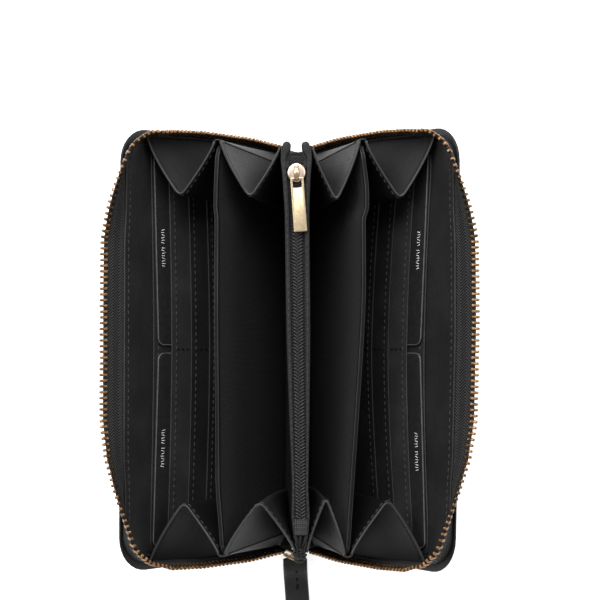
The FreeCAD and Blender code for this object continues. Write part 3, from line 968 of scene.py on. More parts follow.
def card(side, end):
    """A plain dark card with a pale rim, a painted highlight along its edge, and a short row of printed
    strokes.
    """
    panel = COVERS[side]
    node = side + "_card_" + end
    low, high = panel.extent(node)
    middle = (low[1] + high[1]) / 2
    half = (high[1] - low[1]) / 2
    tilt = ENDS[end] * math.tan(math.radians(CARD_TILT[side]))
    drop = 0.25 * SLOT_SAG[side]

    def lift(y, height):
        share = 0.5 - ENDS[end] * (y - middle) / (2 * half)
        return -0.9 * SLOT_GAPE[side] * share * smooth((height - 40) / 35), (y - middle) * tilt - drop

    rows = outline_rows(low[2], high[2], half, CARD_CORNER, 8, 6)
    points, uv = panel_grid(panel, rows, 31, (low[0] + high[0]) / 2, lift, middle)
    piece = sheet(node + "_body", points, high[0] - low[0], "card", uv)
    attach(piece, node)
    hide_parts(node)
    # The rim tube is pale: a painted highlight along the card's edge
    rim = edge_path(panel, rows, low[0] + 0.05, 0.1, lift, middle)
    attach(tube_piece(node + "_rim", "card_rim_highlight", rim, CARD_RIM, 6, up=panel.inward()), node)
    start = middle - 8.4 + (0.8 if side == "left" else -0.48)
    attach(card_print(node, panel, low[0] - 0.03, start, high[2] - 4.2, lift), node)


# Dividers

def divider_wave(side, y, height):
    """How far a divider waves out of its plane, peeling away near the slider's end."""
    peel = DIVIDER_PEEL[side] * smooth((88 - y) / 20) * smooth((y - 56) / 6)
    return (0.35 * math.sin(y / 31.0 + 0.6) + peel) * smooth((height - 30) / 40)


def divider_span(side):
    """Lowest and highest corners of a divider's cloth, and the depth of its leather's face."""
    panel = DIVIDERS[side]
    low, high = panel.extent(side + "_divider_lining")
    return low, high, panel.extent(side + "_divider_leather")[1][0]


def divider_layers(side):
    """Cloth, board and leather, drawn together under the bound top edge."""
    panel = DIVIDERS[side]
    low, high, face = divider_span(side)
    middle = (low[0] + face) / 2
    thickness = 0.5
    drawn = 0.28
    margin = 0.5
    # The leather face takes the slot leather, a lighter copy of the inner leather: painted light
    layers = (
        ("_divider_cloth", low[0] + thickness / 2, -drawn, margin, "lining", "lining_fabric",
         "_divider_lining"),
        ("_divider_stiffener", middle, 0.0, 10.0, "board", "stiffener_board", "_divider_board"),
        ("_divider_leather_face", face - thickness / 2, drawn, margin, "slot", "edge_leather",
         "_divider_leather"))
    for name, depth, offset, inset, material, slot, node in layers:
        rows = outline_rows(low[2], high[2] - inset, high[1] - 0.3 * inset, 4.0, 16, 5)

        def lift(y, height, depth=depth, offset=offset):
            share = smooth((height - high[2] + 10) / 7)
            return divider_wave(side, y, height) + (middle + offset - depth) * share, 0.0

        points, uv = panel_grid(panel, rows, 61, depth, lift)
        piece = sheet(side + name, points, thickness, material, uv)
        turn_page(piece, side)
        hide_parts(side + node)


def divider_binding(side):
    """The narrow binding over a divider's top, with its turned edges and stitch line."""
    panel = DIVIDERS[side]
    low, high, face = divider_span(side)
    middle = (low[0] + face) / 2
    half_width = 0.62
    skirt = 1.8
    crown = 0.4
    profile = [(-half_width, -skirt), (-half_width, -skirt / 2), (-half_width, -crown)]
    for step in range(1, 8):
        angle = math.pi * step / 8
        profile.append((-half_width * math.cos(angle), crown * math.sin(angle) - crown))
    profile += [(half_width, -crown), (half_width, -skirt / 2), (half_width, -skirt)]
    ys = np.linspace(-high[1] + 1.0, high[1] - 1.0, 81)

    def top_line(depth, rise):
        line = []
        for y in ys:
            drop = 2.2 * smooth((abs(y) - high[1] + 6) / 6)
            wave = divider_wave(side, y, high[2])
            line.append(panel.at(middle + depth + wave, y, high[2] + rise - drop))
        return line

    points = [top_line(depth, rise) for depth, rise in profile]
    uv = [[(y, index * 0.8) for y in ys] for index in range(len(profile))]
    # The binding takes the darker copy of the gusset leather: painted shade
    turn_page(sheet(side + "_divider_binding", points, 0.36, "outer_gusset", uv), side)
    # The binding's turned edges take the lighter edge leather: partly edge paint, partly a painted highlight
    beads = Cluster()
    for sign in (-1, 1):
        beads.add(*tube_data(top_line(sign * (half_width + 0.05), -0.2), BINDING_EDGE, 8))
    turn_page(beads.piece(side + "_divider_edges", "edge"), side)
    path = top_line(half_width + 0.2, -1.5)[5:-5]
    turn_page(stitch_piece(side + "_divider_stitching", path, -panel.inward()), side)


# Gussets

def fold_shape(share):
    """Height of a rounded fold across a gusset: 0 at both sides and 1 at the crease."""
    distance = abs(2 * share - 1)
    rounding = 0.11
    if distance < rounding:
        return 1 - (distance ** 2 + rounding ** 2) / (2 * rounding)
    return 1 - distance


def fold_crossing(share):
    """How far across a gusset a point lies: its legs leave both panels along them."""
    distance = 2 * share - 1
    return 0.5 + 0.5 * math.copysign(1 - (1 - abs(distance)) ** 1.25, distance)


def gusset(name, node, direction, near, far, shares, bodies, crease, material):
    """One folded gusset between two lines from foot to top. Shares are the turns of its two sides."""
    def at(row, column):
        height_share = row / (GUSSET_ROWS - 1)
        share = column / (GUSSET_COLUMNS - 1)
        base = near(height_share).lerp(far(height_share), fold_crossing(share))
        bow = 1 + 0.06 * math.sin(math.pi * height_share) * math.sin(math.pi * share)
        pull = (abs(base.y) - crease) * fold_shape(share) * bow
        dip = 1.3 * math.sin(math.pi * share) * height_share ** 3
        point = Vector((base.x, base.y - direction * pull, base.z - dip))
        return point, (column * 1.5, 75 * height_share)

    points, uv = surface(range(GUSSET_ROWS), range(GUSSET_COLUMNS), at)
    across = [
        shares[0] + (shares[1] - shares[0]) * fold_crossing(column / (GUSSET_COLUMNS - 1))
        for column in range(GUSSET_COLUMNS)]
    piece = sheet(name, points, GUSSET_THICK, material, uv)
    bend(piece, *bodies, sheet_weights([across] * GUSSET_ROWS))
    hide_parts(node)
    grid = np.array(points)
    gusset_trim(name, grid, direction, bodies, across, material)
    return grid


def gusset_trim(name, grid, direction, bodies, shares, material):
    """A gusset's rolled hem, with a row of stitches inside it and a turned edge outside."""
    hem = tube_piece(name + "_hem", "hem", grid[-1], GUSSET_HEM)
    bend(hem, *bodies, np.repeat(shares, 8))
    normals = grid_normals(grid)[-2, 2:-2]
    inside = normals * np.where(normals[:, 1:2] * direction < 0, 1, -1)
    seam_line = (grid[-2] * 0.4 + grid[-1] * 0.6)[2:-2]
    stitches = Cluster()
    add_stitches(stitches, seam_line + inside * 0.5, inside, shares[2:-2])
    bend(stitches.piece(name + "_stitching", "thread"), *bodies, stitches.weights)
    turned = tube_piece(name + "_turned_edge", material, seam_line - inside * 0.4, GUSSET_TURN, 6)
    bend(turned, *bodies, np.repeat(shares[2:-2], 6))


def end_ridges(name, grid, bodies, weight):
    """The rolled seam where an inner gusset is sewn down, with the edge of its allowance beside it."""
    seam = Cluster()
    seam.add(*tube_data(grid[:-1, -1], 0.75, 10))
    seam.add(*tube_data(grid[:-2, -6], 0.5, 8))
    bend(seam.piece(name, "gusset"), *bodies, [weight] * len(seam.weights))


def divider_end_cap(name, outer_line, inner_line, direction, bodies, weight):
    """The leather that runs round a divider's end, from the outer gusset to the inner one."""
    def at(height_share, angle):
        point = outer_line(height_share).lerp(inner_line(height_share), (1 - math.cos(angle)) / 2)
        point.y += direction * 0.7 * math.sin(angle)
        return point, (angle, 75 * height_share)

    points, uv = surface(np.linspace(0, 1, 21), np.linspace(0, math.pi, 9), at)
    piece = sheet(name, points, STRIP_THICK, "gusset", uv)
    bend(piece, *bodies, [weight] * len(piece.data.vertices))


def gussets(side, end):
    """The two folded gussets at one end of one side, and the leather round the divider's end."""
    cover = COVERS[side]
    page = DIVIDERS[side]
    direction = ENDS[end]
    low, high, face = divider_span(side)
    cover_high = cover.extent(side + "_cover_leather")[1]
    slot_face = cover.extent(side + "_slot_upper")[0][0]
    slot_step = slot_face - cover.extent(side + "_slot_lower")[0][0]
    pocket_high = node_box("coin_pocket_panel_" + side)[1]
    divider_y = high[1] + GUSSET_REACH[end]
    share = page.share(direction * divider_y)
    half_thick = GUSSET_THICK / 2
    pocket_y = pocket_high.y + 1.5
    foot_x, pocket_x = (
        pocket_wall(direction * pocket_high.y, height_share, cover.sign) + cover.sign * half_thick
        for height_share in (0.0, 1.0))

    def rise(top, height_share):
        return GUSSET_FOOT + (top - GUSSET_FOOT) * height_share

    def at_divider(depth, foot_y):
        def point(h):
            return page.at(depth, direction * (foot_y + (divider_y - foot_y) * h), rise(high[2] - 0.5, h))
        return point

    def at_cover(h):
        height = rise(GUSSET_TOP[side][end], h)
        stand = (slot_step + GUSSET_THICK) * (1 - smooth((height - 50) / 25))
        return cover.at(slot_face + 0.4 - stand, direction * (cover_high[1] - 2.4), height)

    def at_pocket(h):
        x = foot_x + (pocket_x - foot_x) * smooth(h)
        return Vector((x, direction * pocket_y, rise(pocket_high.z + 0.5, h)))

    outer_line = at_divider(face + 0.3, cover_high[1] - 4)
    inner_line = at_divider(low[0] - 0.3, pocket_y)
    # The outer gusset takes the darker copy of the gusset leather: painted shade; the inner one the lighter
    # copy
    gusset(
        side + "_outer_gusset_fold_" + end, side + "_outer_gusset_" + end, direction,
        outer_line, at_cover, (share * page.lean / cover.lean, 1.0),
        ("root", side + "_cover"), GUSSET_CREASE[side], "outer_gusset")
    bodies = ("root", side + "_divider")
    grid = gusset(
        side + "_inner_gusset_fold_" + end, side + "_inner_gusset_" + end, direction,
        at_pocket, inner_line, (0.0, share), bodies, GUSSET_CREASE[side] - 1.0, "gusset")
    end_ridges(side + "_inner_gusset_seam_" + end, grid, bodies, share)
    divider_end_cap(side + "_divider_end_" + end, outer_line, inner_line, direction, bodies, share)


# Main zip

class Seam:
    """The line where the zip tape leaves a cover, by distance from the middle of the long edge."""

    def __init__(self, side):
        self.panel = COVERS[side]
        high = self.panel.extent(side + "_cover_leather")[1]
        hinge = joints[side + "_zip_fold"]
        turn = hinge["range_deg"][1]
        middle = self.panel.extent(side + "_zip_tape_middle")[1]
        pivot = [value / MM for value in hinge["pos_m"]]
        x = self.panel.sign * pivot[0] - self.panel.x
        z = pivot[2] - self.panel.z
        self.depth = x * math.cos(self.panel.lean) - z * math.sin(self.panel.lean) + TAPE_TUCK
        self.top = high[2] - TAPE_EDGE_MARGIN
        self.half = high[1] - TAPE_END_MARGIN
        self.corner = COVER_CORNER - TAPE_CORNER_INSET
        self.flare = TAPE_CURL - turn
        self.flat_run = middle[1]
        self.long_run = self.half - self.corner
        self.corner_run = self.corner * math.pi / 2
        self.length = self.long_run + self.corner_run + self.top - self.corner - TAPE_FOOT

    def place(self, distance):
        """Point on the seam and its outward direction, as (y, height) pairs."""
        if distance <= self.long_run:
            return (distance, self.top), (0.0, 1.0)
        if distance <= self.long_run + self.corner_run:
            turn = (distance - self.long_run) / self.corner
            outward = (math.sin(turn), math.cos(turn))
            y = self.long_run + self.corner * outward[0]
            return (y, self.top - self.corner + self.corner * outward[1]), outward
        down = distance - self.long_run - self.corner_run
        return (self.half, self.top - self.corner - down), (1.0, 0.0)

    def weight(self, distance):
        """Share of the fold that the tape makes: all of it mid-edge, none at the ends."""
        stop = self.long_run + self.corner_run
        share = (abs(distance) - self.flat_run) / (stop - self.flat_run)
        share = min(max(share, 0.0), 1.0)
        return 1 - (0.8 * share + 0.2 * smooth(share))

    def angle(self, distance):
        """The tape's turn in from the cover's plane, tighter at the corners and near the spine."""
        extra = CURL_EXTRA["lower" if distance < 0 else "upper"]
        tuck = 11.0 * smooth((abs(distance) - self.length + 30) / 30)
        tuck += float(np.interp(abs(distance), CURL_STATIONS, extra))
        return TAPE_CURL - (TAPE_CURL - self.flare) * self.weight(distance) + tuck

    def point(self, distance, reach, rise=0.0):
        """A point of the tape, by signed distance, reach from the seam and rise off the tape."""
        direction = -1 if distance < 0 else 1
        (y, height), (out_y, out_z) = self.place(abs(distance))
        angle = math.radians(self.angle(distance))
        span = reach * math.cos(angle) + rise * math.sin(angle)
        depth = self.depth - reach * math.sin(angle) + rise * math.cos(angle)
        return self.panel.at(depth, direction * (y + out_y * span), height + out_z * span)


def tooth_data():
    """A cast tooth: two legs that grip the tape, a waist, and a round head."""
    work = box_mesh((TOOTH_LENGTH, TOOTH_WIDTH, TOOTH_HEIGHT))
    lengthwise = [
        edge for edge in work.edges
        if abs((edge.verts[0].co - edge.verts[1].co).x) > TOOTH_LENGTH / 2]
    bmesh.ops.subdivide_edges(work, edges=lengthwise, cuts=4, use_grid_fill=True)
    for vertex in work.verts:
        share = vertex.co.x / TOOTH_LENGTH + 0.5
        waist = 1 - 0.30 * math.exp(-((share - 0.48) / 0.14) ** 2)
        nose = 1 - 0.30 * smooth((share - 0.8) / 0.2)
        vertex.co.y *= waist * nose
        vertex.co.z *= (1 - 0.25 * smooth((share - 0.7) / 0.3)) * (1 - 0.25 * smooth((0.25 - share) / 0.25))
        vertex.co.z *= 1 - 0.22 * math.exp(-((share - 0.48) / 0.12) ** 2)
    bmesh.ops.bevel(
        work, geom=list(work.edges), offset=0.18, segments=2, profile=0.6, affect="EDGES")
    return mesh_parts(work)


def zip_tape(side, seam):
    """The woven tape round one cover, from under the leather's edge to its cord beside the teeth."""
    bodies = (side + "_cover", side + "_zip_flap")
    edge = TAPE_REACH - TOOTH_LENGTH + TOOTH_GRIP
    reaches = np.linspace(0, edge, 10)
    distances = np.linspace(-seam.length, seam.length, 281)
    shares = [seam.weight(distance) for distance in distances]

    def at(distance, reach):
        if reach < 0:
            (y, height), (out_y, out_z) = seam.place(abs(distance))
            direction = -1 if distance < 0 else 1
            point = seam.panel.at(seam.depth, direction * (y + reach * out_y), height + reach * out_z)
        else:
            sag = 0.35 * smooth((abs(distance) - 20) / 40)
            point = seam.point(distance, reach, -sag * 4 * reach / edge * (1 - reach / edge))
        return point, (distance, reach)

    points, uv = surface(distances, (-TAPE_HIDDEN, *reaches), at)
    piece = sheet(side + "_zip_tape", points, TAPE_THICK, "tape", uv)
    bend(piece, *bodies, sheet_weights([[0.0] + [share] * len(reaches) for share in shares]))
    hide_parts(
        side + "_zip_tape_upper", side + "_zip_tape_lower", side + "_zip_tape_middle")
    line = [seam.point(distance, edge + 0.1) for distance in distances]
    bend(tube_piece(side + "_zip_edge_cord", "tape", line, ZIP_CORD), *bodies, np.repeat(shares, 8))


def zip_teeth(side, seam):
    """The row of metal teeth round one cover, each turned a little by chance."""
    tooth_vertices, tooth_faces = tooth_data()
    teeth = Cluster()
    dice = random.Random(7)
    for direction in ENDS.values():
        for index in range(int(seam.length / TOOTH_PITCH)):
            distance = (index + 0.5) * TOOTH_PITCH * direction
            middle = seam.point(distance, TAPE_REACH - TOOTH_LENGTH / 2)
            reach = (seam.point(distance, TAPE_REACH) - middle).normalized()
            along = seam.point(distance + 0.2, TAPE_REACH) - seam.point(distance - 0.2, TAPE_REACH)
            along = (along - reach * along.dot(reach)).normalized()
            across = reach.cross(along)
            wobble = Matrix.Rotation(math.radians(dice.uniform(-2.5, 2.5)), 4, "Z")
            matrix = axes_matrix(middle, reach, along, across) @ wobble
            teeth.add(placed(tooth_vertices, matrix), tooth_faces, seam.weight(distance))
    row = teeth.piece(side + "_zip_teeth", "brass")
    bend(row, side + "_cover", side + "_zip_flap", teeth.weights)
    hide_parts(side + "_zip_teeth_middle", side + "_zip_teeth_returns")


def tape_facing(side, end, seam, stitches):
    """The leather strip sewn over the tape at one end of a cover."""
    direction = ENDS[end]

    def at(reach, run):
        return seam.point(direction * run, reach, -0.6), (run, reach)

    runs = np.linspace(seam.long_run + seam.corner_run + 2, seam.length - 6, 40)
    points, uv = surface(np.linspace(-0.6, 6.0, 8), runs, at)
    facing = sheet(side + "_tape_facing_" + end, points, 0.45, "facing", uv)
    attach(facing, side + "_cover")
    path = [seam.point(direction * run, 1.4, -0.88) for run in runs]
    normal = seam.point(direction * runs[0], 1.3, -1.0) - seam.point(direction * runs[0], 1.3)
    add_stitches(stitches, path, [normal] * len(path))


def main_zip(side):
    """Everything that runs round one cover's edge: tape, teeth and leather facings."""
    seam = Seam(side)
    zip_tape(side, seam)
    zip_teeth(side, seam)
    stitches = Cluster()
    for end in ENDS:
        tape_facing(side, end, seam, stitches)
    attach(stitches.piece(side + "_zip_tape_stitching", "thread"), side + "_cover")


# Coin pocket

def pocket_half(y):
    """Half the pocket's width along its top: wide by the slider, narrow towards the gathered end."""
    return float(np.interp(y, POCKET_STATIONS, POCKET_HALVES))


def pocket_middle(y):
    """The pocket doesn't stand quite straight along the spine."""
    return 0.4 - 0.012 * y


def pocket_wall(y, share, sign):
    """X of a side wall's outer face, from the spine (share 0) to the top (share 1)."""
    foot = 4.3
    top = pocket_middle(y) + sign * pocket_half(y)
    return sign * foot * (1 - smooth(share)) + top * smooth(share)


def roll_radius(y):
    """The rolled edge is fat by the slider and thin along the rest of the zip."""
    body = min(max((pocket_half(y) - COIL_REACH) * 0.36, 0.45), 1.1)
    return body + 0.75 * smooth((y - 83) / 4)


def coin_pocket_wall(side):
    """One side wall of the pocket, bulging a little and pleated at the gathered end."""
    sign = SIDES[side]
    low, high = node_box("coin_pocket_panel_" + side)
    thickness = 0.9

    def at(z, y):
        share = (z - low.z) / (high.z - low.z)
        bulge = 0.5 * math.sin(math.pi * min(share, 1.0)) * max(0.0, 1 - (y / high.y) ** 2)
        pleats = 0.3 * smooth((-74 - y) / 8) * math.sin(y * 1.9 + share * 5)
        x = pocket_wall(y, share, sign) + sign * (bulge + pleats - thickness / 2)
        return Vector((x, y, z)), (y, z)

    ys = np.concatenate([
        np.linspace(low.y - POCKET_GATHER, -72, 12), np.linspace(-68, 72, 41),
        np.linspace(75, high.y + 2.0, 7)])
    points, uv = surface(np.linspace(low.z, high.z + 0.8, 16), ys, at)
    piece = sheet("coin_pocket_side_" + side, points, thickness, "inner", uv)
    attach(piece, "root")
    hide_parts("coin_pocket_panel_" + side)


def coin_pocket_roll(side):
    """The rolled leather edge along one side's top, with its creases and stitch line."""
    sign = SIDES[side]
    low, high = node_box("coin_pocket_panel_" + side)
    tip = high.y + 4.2
    top = node_box("coin_pocket_binding_" + side)[1].z - 0.9
    path = []
    radii = []
    stations = np.concatenate([
        np.linspace(low.y - POCKET_GATHER, -70, 14), np.linspace(-66, tip - 8, 44),
        np.linspace(tip - 7, tip, 15)])
    for y in stations:
        radius = roll_radius(y)
        lean_in = 0.7 * smooth((y - tip + 8) / 6)
        x = pocket_middle(y) + sign * (pocket_half(y) - radius - lean_in)
        rounding = math.sqrt(max(0.02, 1 - max(0.0, (y - tip + 1.7) / 1.75) ** 2))
        sink = 3.0 * smooth((-78 - y) / 10)
        path.append(Vector((x, y, top - radius * 0.3 - sink)))
        radii.append(radius * rounding)
    binding = tube_piece("coin_pocket_roll_" + side, "gusset", path, radii, 16, flat=1.15)
    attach(binding, "root")
    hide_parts("coin_pocket_binding_" + side)

    def line(across, rise):
        return [point + Vector((across * radius, 0, rise * radius)) for point, radius in zip(path, radii)]

    # The roll's edge lines take the lighter edge leather: partly edge paint, partly a painted highlight
    creases = Cluster()
    for across in (-0.6, 0.6):
        creases.add(*tube_data(line(across, 1.0)[6:-4], 0.16, 6))
    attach(creases.piece("coin_pocket_roll_edges_" + side, "edge"), "root")
    stitches = stitch_piece("coin_pocket_stitching_" + side, line(0, 1.18)[8:-8], Vector((0, 0, 1)))
    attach(stitches, "root")


def coin_zip_tape(side):
    """The woven tape of one side of the coin zip."""
    low, high = node_box("coin_zip_tape_" + side)
    gap = 0.15

    def at(share, y):
        x = gap + (pocket_half(y) - 0.6 - gap) * share
        return Vector((pocket_middle(y) + SIDES[side] * x, y, low.z + 0.5 * share ** 2)), (y, x)

    points, uv = surface(np.linspace(0, 1, 6), np.linspace(low.y, high.y + 1.5, 71), at)
    piece = sheet("coin_zip_cloth_" + side, points, 0.5, "coin_tape", uv)
    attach(piece, "root")
    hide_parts("coin_zip_tape_" + side)


def coin_zip_coil(side):
    """The moulded coil of slanting loops along one side of the coin zip."""
    low, high = node_box("coin_zip_coil_" + side)
    middle_z = (low.z + high.z) / 2 + 0.25
    steps = 14
    slant = 0.6
    past_middle = 0.18
    offset = COIL_PITCH / 2 if side == "left" else 0.0
    turns = int((high.y - low.y) / COIL_PITCH) - 1
    half_span = (COIL_REACH + past_middle) / 2
    path = []
    for index in range(turns * steps):
        angle = 2 * math.pi * index / steps
        across = half_span - past_middle - half_span * math.cos(angle)
        y = low.y + offset + index / steps * COIL_PITCH + slant * across / COIL_REACH
        x = pocket_middle(y) + SIDES[side] * across
        path.append(Vector((x, y, middle_z + 0.5 * math.sin(angle))))
    loops = tube_piece("coin_zip_loops_" + side, "coil", path, COIL_WIRE, 6, up=Vector((0, 1, 0)))
    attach(loops, "root")
    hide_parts("coin_zip_coil_" + side)


def coin_zip_stop():
    """The woven end stop over the last loops."""
    low, high = node_box("coin_zip_stop")
    length = high.y - low.y + 1.6
    half = 3.0

    def at(share, across):
        y = low.y - 1.0 + length * share
        dome = 0.75 * (1 - across ** 4) + 0.12 * math.sin(share * 19)
        x = pocket_middle(low.y) + half * across * (1 - 0.12 * (1 - share))
        return Vector((x, y, high.z + dome - 0.7)), (y, half * across)

    points, uv = surface(np.linspace(0, 1, 12), np.linspace(-1, 1, 13), at)
    piece = sheet("coin_zip_end_stop", points, 0.7, "stop", uv)
    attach(piece, "root")
    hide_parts("coin_zip_stop")


def gathered_point():
    """Where the pleats of the pocket's gathered end run together."""
    panel_low = node_box("coin_pocket_panel_left")[0]
    stop_low = node_box("coin_zip_stop")[0]
    return Vector((pocket_middle(-90) - 0.4, panel_low.y - 2.6, stop_low.z - 3.0))


def coin_pocket_pleats():
    """Five pleats that narrow from the coin zip's stop to the gathered end."""
    stop_low = node_box("coin_zip_stop")[0]
    count = 5
    steps = 13
    pleats = Cluster()
    for index in range(count):
        x = pocket_middle(-80) - 2.6 + 5.2 * (index / (count - 1))
        start = Vector((x, stop_low.y + 0.2, stop_low.z + 0.5))
        path = []
        for step in range(steps + 1):
            t = step / steps
            point = start.lerp(gathered_point(), t)
            point.z += 1.0 * math.sin(math.pi * t) * (1 if index % 2 == 0 else -0.9)
            point.x += 0.3 * math.sin(math.pi * t) * math.sin(index * 1.9)
            path.append(point)
        pleats.add(*tube_data(path, [0.72 - 0.28 * step / steps for step in range(steps + 1)], 10))
    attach(pleats.piece("coin_pocket_pleats", "gusset"), "root")


def coin_pocket_knot():
    """Leather cord wound four times round the gathered end, with a short tail."""
    knot = gathered_point()
    steps = 20
    cord = Cluster()
    dice = random.Random(11)
    for index in range(4):
        tilt = dice.uniform(-0.35, 0.35)
        radius = 2.0 + 0.3 * (index % 3)
        loop = []
        for step in range(steps):
            angle = 2 * math.pi * step / steps
            x = radius * math.cos(angle)
            y = tilt * x - 1.9 + 1.15 * index
            loop.append(knot + Vector((x, y, 1.3 * math.sin(angle) + 0.3)))
        cord.add(*tube_data(loop, 0.72, 10, closed=True))
    tail = [
        knot + Vector((-2.4 + 4.0 * t, -2.6 - 1.0 * math.sin(math.pi * t), 0.6 - 0.5 * t))
        for t in np.linspace(0, 1, 12)]
    cord.add(*tube_data(tail, 0.55, 8))
    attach(cord.piece("coin_pocket_knot", "gusset"), "root")


def coin_pocket_tape_ends():
    """The zip tapes' ends, folded four times on each side behind the slider."""
    end = node_box("coin_pocket_panel_left")[1].y
    top = node_box("coin_zip_stop")[1].z
    steps = 11
    cloth = Cluster()
    for sign in (-1, 1):
        for fold in range(4):
            path = []
            for step in range(steps + 1):
                t = step / steps
                x = pocket_middle(end) + sign * (3.0 + 0.55 * fold + 0.5 * math.sin(3.1 * t + fold))
                y = end - 9.0 + 1.1 * fold + 6.0 * t
                z = top - 0.2 + 0.5 * math.sin(4.0 * t + fold * 1.3) - 1.6 * t * t
                path.append(Vector((x, y, z)))
            cloth.add(*tube_data(path, 0.55, 8, flat=0.7))
    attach(cloth.piece("coin_pocket_tape_ends", "coin_tape"), "root")


def coin_pocket_end_flap():
    """The leather that curves down and closes the pocket behind the slider."""
    end = node_box("coin_pocket_panel_left")[1].y
    top = node_box("coin_zip_stop")[1].z

    def at(share, across):
        x = pocket_middle(end) + across * (pocket_half(end) - 1.6)
        y = end - 6.8 + 4.2 * math.sin(share * math.pi / 2)
        z = top - 1.4 - 9.0 * (1 - math.cos(share * math.pi / 2)) ** 1.5
        return Vector((x, y + 0.15 * math.sin(across * 7), z)), (across * 6, share * 12)

    points, uv = surface(np.linspace(0, 1, 9), np.linspace(-1, 1, 15), at)
    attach(sheet("coin_pocket_end_flap", points, STRIP_THICK, "gusset", uv), "root")


def coin_pocket_end_wall(name, y, top, inward):
    """Cloth that closes one end of the pocket under the zip, with a fold down its middle."""
    low, high = node_box("coin_pocket_panel_left")
    clearance = 0.95

    def at(z, across):
        share = (z - low.z) / (high.z - low.z)
        left = pocket_wall(y, share, -1) + clearance
        right = pocket_wall(y, share, 1) - clearance
        fold = 3.0 * inward * (1 - abs(2 * across - 1))
        return Vector((left + (right - left) * across, y + fold, z)), (12 * across, z)

    points, uv = surface(np.linspace(low.z + 0.5, top, 20), np.linspace(0, 1, 13), at)
    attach(sheet(name, points, 0.6, "lining", uv), "root")


def coin_pocket_end_walls():
    """The two end walls, each a little inside the side walls' ends."""
    low, high = node_box("coin_pocket_panel_left")
    stop_top = node_box("coin_zip_stop")[1].z
    coin_pocket_end_wall("coin_pocket_end_wall_upper", high.y - 3.2, stop_top - 9.5, -1)
    coin_pocket_end_wall("coin_pocket_end_wall_lower", low.y + 1.5, stop_top - 5.0, 1)


def plate_data(outline, hole, thickness, bevel):
    """A flat plate in the XY plane with bevelled edges and a hole, from two closed outlines."""
    curve = bpy.data.curves.new("plate", "CURVE")
    curve.dimensions = "2D"
    curve.fill_mode = "BOTH"
    curve.extrude = thickness / 2 - bevel
    curve.bevel_depth = bevel
    curve.bevel_resolution = 2
    curve.offset = -bevel
    for loop in (outline, hole):
        spline = curve.splines.new("POLY")
        spline.points.add(len(loop) - 1)
        for point, (x, y) in zip(spline.points, loop):
            point.co = (x, y, 0, 1)
        spline.use_cyclic_u = True
    shape = bpy.data.objects.new("plate", curve)
    bpy.context.scene.collection.objects.link(shape)
    bpy.context.view_layer.update()
    mesh = bpy.data.meshes.new_from_object(shape.evaluated_get(bpy.context.evaluated_depsgraph_get()))
    work = bmesh.new()
    work.from_mesh(mesh)
    bmesh.ops.remove_doubles(work, verts=work.verts, dist=0.001)
    vertices, faces = mesh_parts(work)
    bpy.data.objects.remove(shape)
    bpy.data.curves.remove(curve)
    bpy.data.meshes.remove(mesh)
    return vertices, faces


def rounded_loop(x0, x1, y0, y1, radius, steps=5):
    """The outline of a rectangle with round corners."""
    loop = []
    corners = ((x1, y1, 0), (x0, y1, 90), (x0, y0, 180), (x1, y0, 270))
    for x, y, start in corners:
        centre_x = x - math.copysign(radius, x - (x0 + x1) / 2)
        centre_y = y - math.copysign(radius, y - (y0 + y1) / 2)
        for step in range(steps + 1):
            angle = math.radians(start + 90 * step / steps)
            loop.append((centre_x + radius * math.cos(angle), centre_y + radius * math.sin(angle)))
    return loop


def coin_slider_place():
    """Where the coin pull is hinged, over the middle of the zip, and the height of the slider's foot."""
    hinge = joint_place("coin_pull_swing")
    hinge.x = pocket_middle(hinge.y)
    return hinge, node_box("coin_zip_coil_left")[1].z + 0.75


def coin_slider():
    """The slider's round domed head over its lower plate, with a raised bridge."""
    low, high = node_box("coin_zip_slider")
    hinge, base = coin_slider_place()
    sections = 40
    rings = [(0.0, 3.7), (0.25, 4.0), (0.6, 3.95), (0.85, 3.6), (0.95, 3.0), (0.98, 1.5)]
    vertices = []
    for rise, radius in rings:
        for k in range(sections):
            angle = 2 * math.pi * k / sections
            waist = 1 - 0.16 * max(0.0, -math.sin(angle)) ** 3
            x = hinge.x + radius * waist * math.cos(angle)
            vertices.append(Vector((x, hinge.y + 0.3 + radius * 1.05 * math.sin(angle), base + rise)))
    circles = [range(level * sections, (level + 1) * sections) for level in range(len(rings))]
    faces = [list(reversed(circles[0]))]
    for here, there in zip(circles, circles[1:]):
        faces += band(here, there)
    faces.append(list(circles[-1]))
    body = Cluster()
    body.add(vertices, faces)
    under, under_faces = rounded_box_data((5.2, 7.2, 0.9), 0.35)
    under_place = Matrix.Translation(Vector((hinge.x, hinge.y - 0.8, low.z + 0.5)))
    body.add(placed(under, under_place), under_faces)
    piece = body.piece("coin_slider_body", "rose_gold")
    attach(piece, "coin_zip_slider")
    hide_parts("coin_zip_slider")
    arch = []
    for t in np.linspace(0, 1, 21):
        z = base + 0.4 + (high.z - base - 0.8) * max(0.0, math.sin(math.pi * t)) ** 0.5
        arch.append(Vector((hinge.x, hinge.y - 2.9 + 6.2 * t, z)))
    bridge = tube_piece("coin_slider_bridge", "gold", arch, 0.55, 14, flat=2.1, up=Vector((1, 0, 0)))
    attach(bridge, "coin_zip_slider")


def coin_pull():
    """The slider's flat metal pull with an eye at its hinge."""
    hinge = coin_slider_place()[0]
    plate_end = node_box("coin_zip_pull")[0].y - hinge.y
    outline = rounded_loop(-2.85, 2.85, plate_end, -1.9, 0.35)
    eye = rounded_loop(-1.95, 1.95, -6.4, -2.7, 0.8)
    vertices, faces = plate_data(outline, eye, 0.9, 0.2)
    pull = Cluster()
    pull.add(placed(vertices, Matrix.Translation(hinge) @ Matrix.Rotation(math.radians(4.0), 4, "Z")), faces)
    plate = pull.piece("coin_pull_plate", "gold")
    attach(plate, "coin_zip_pull")
    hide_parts("coin_zip_pull")


# Main slider, ring and strap

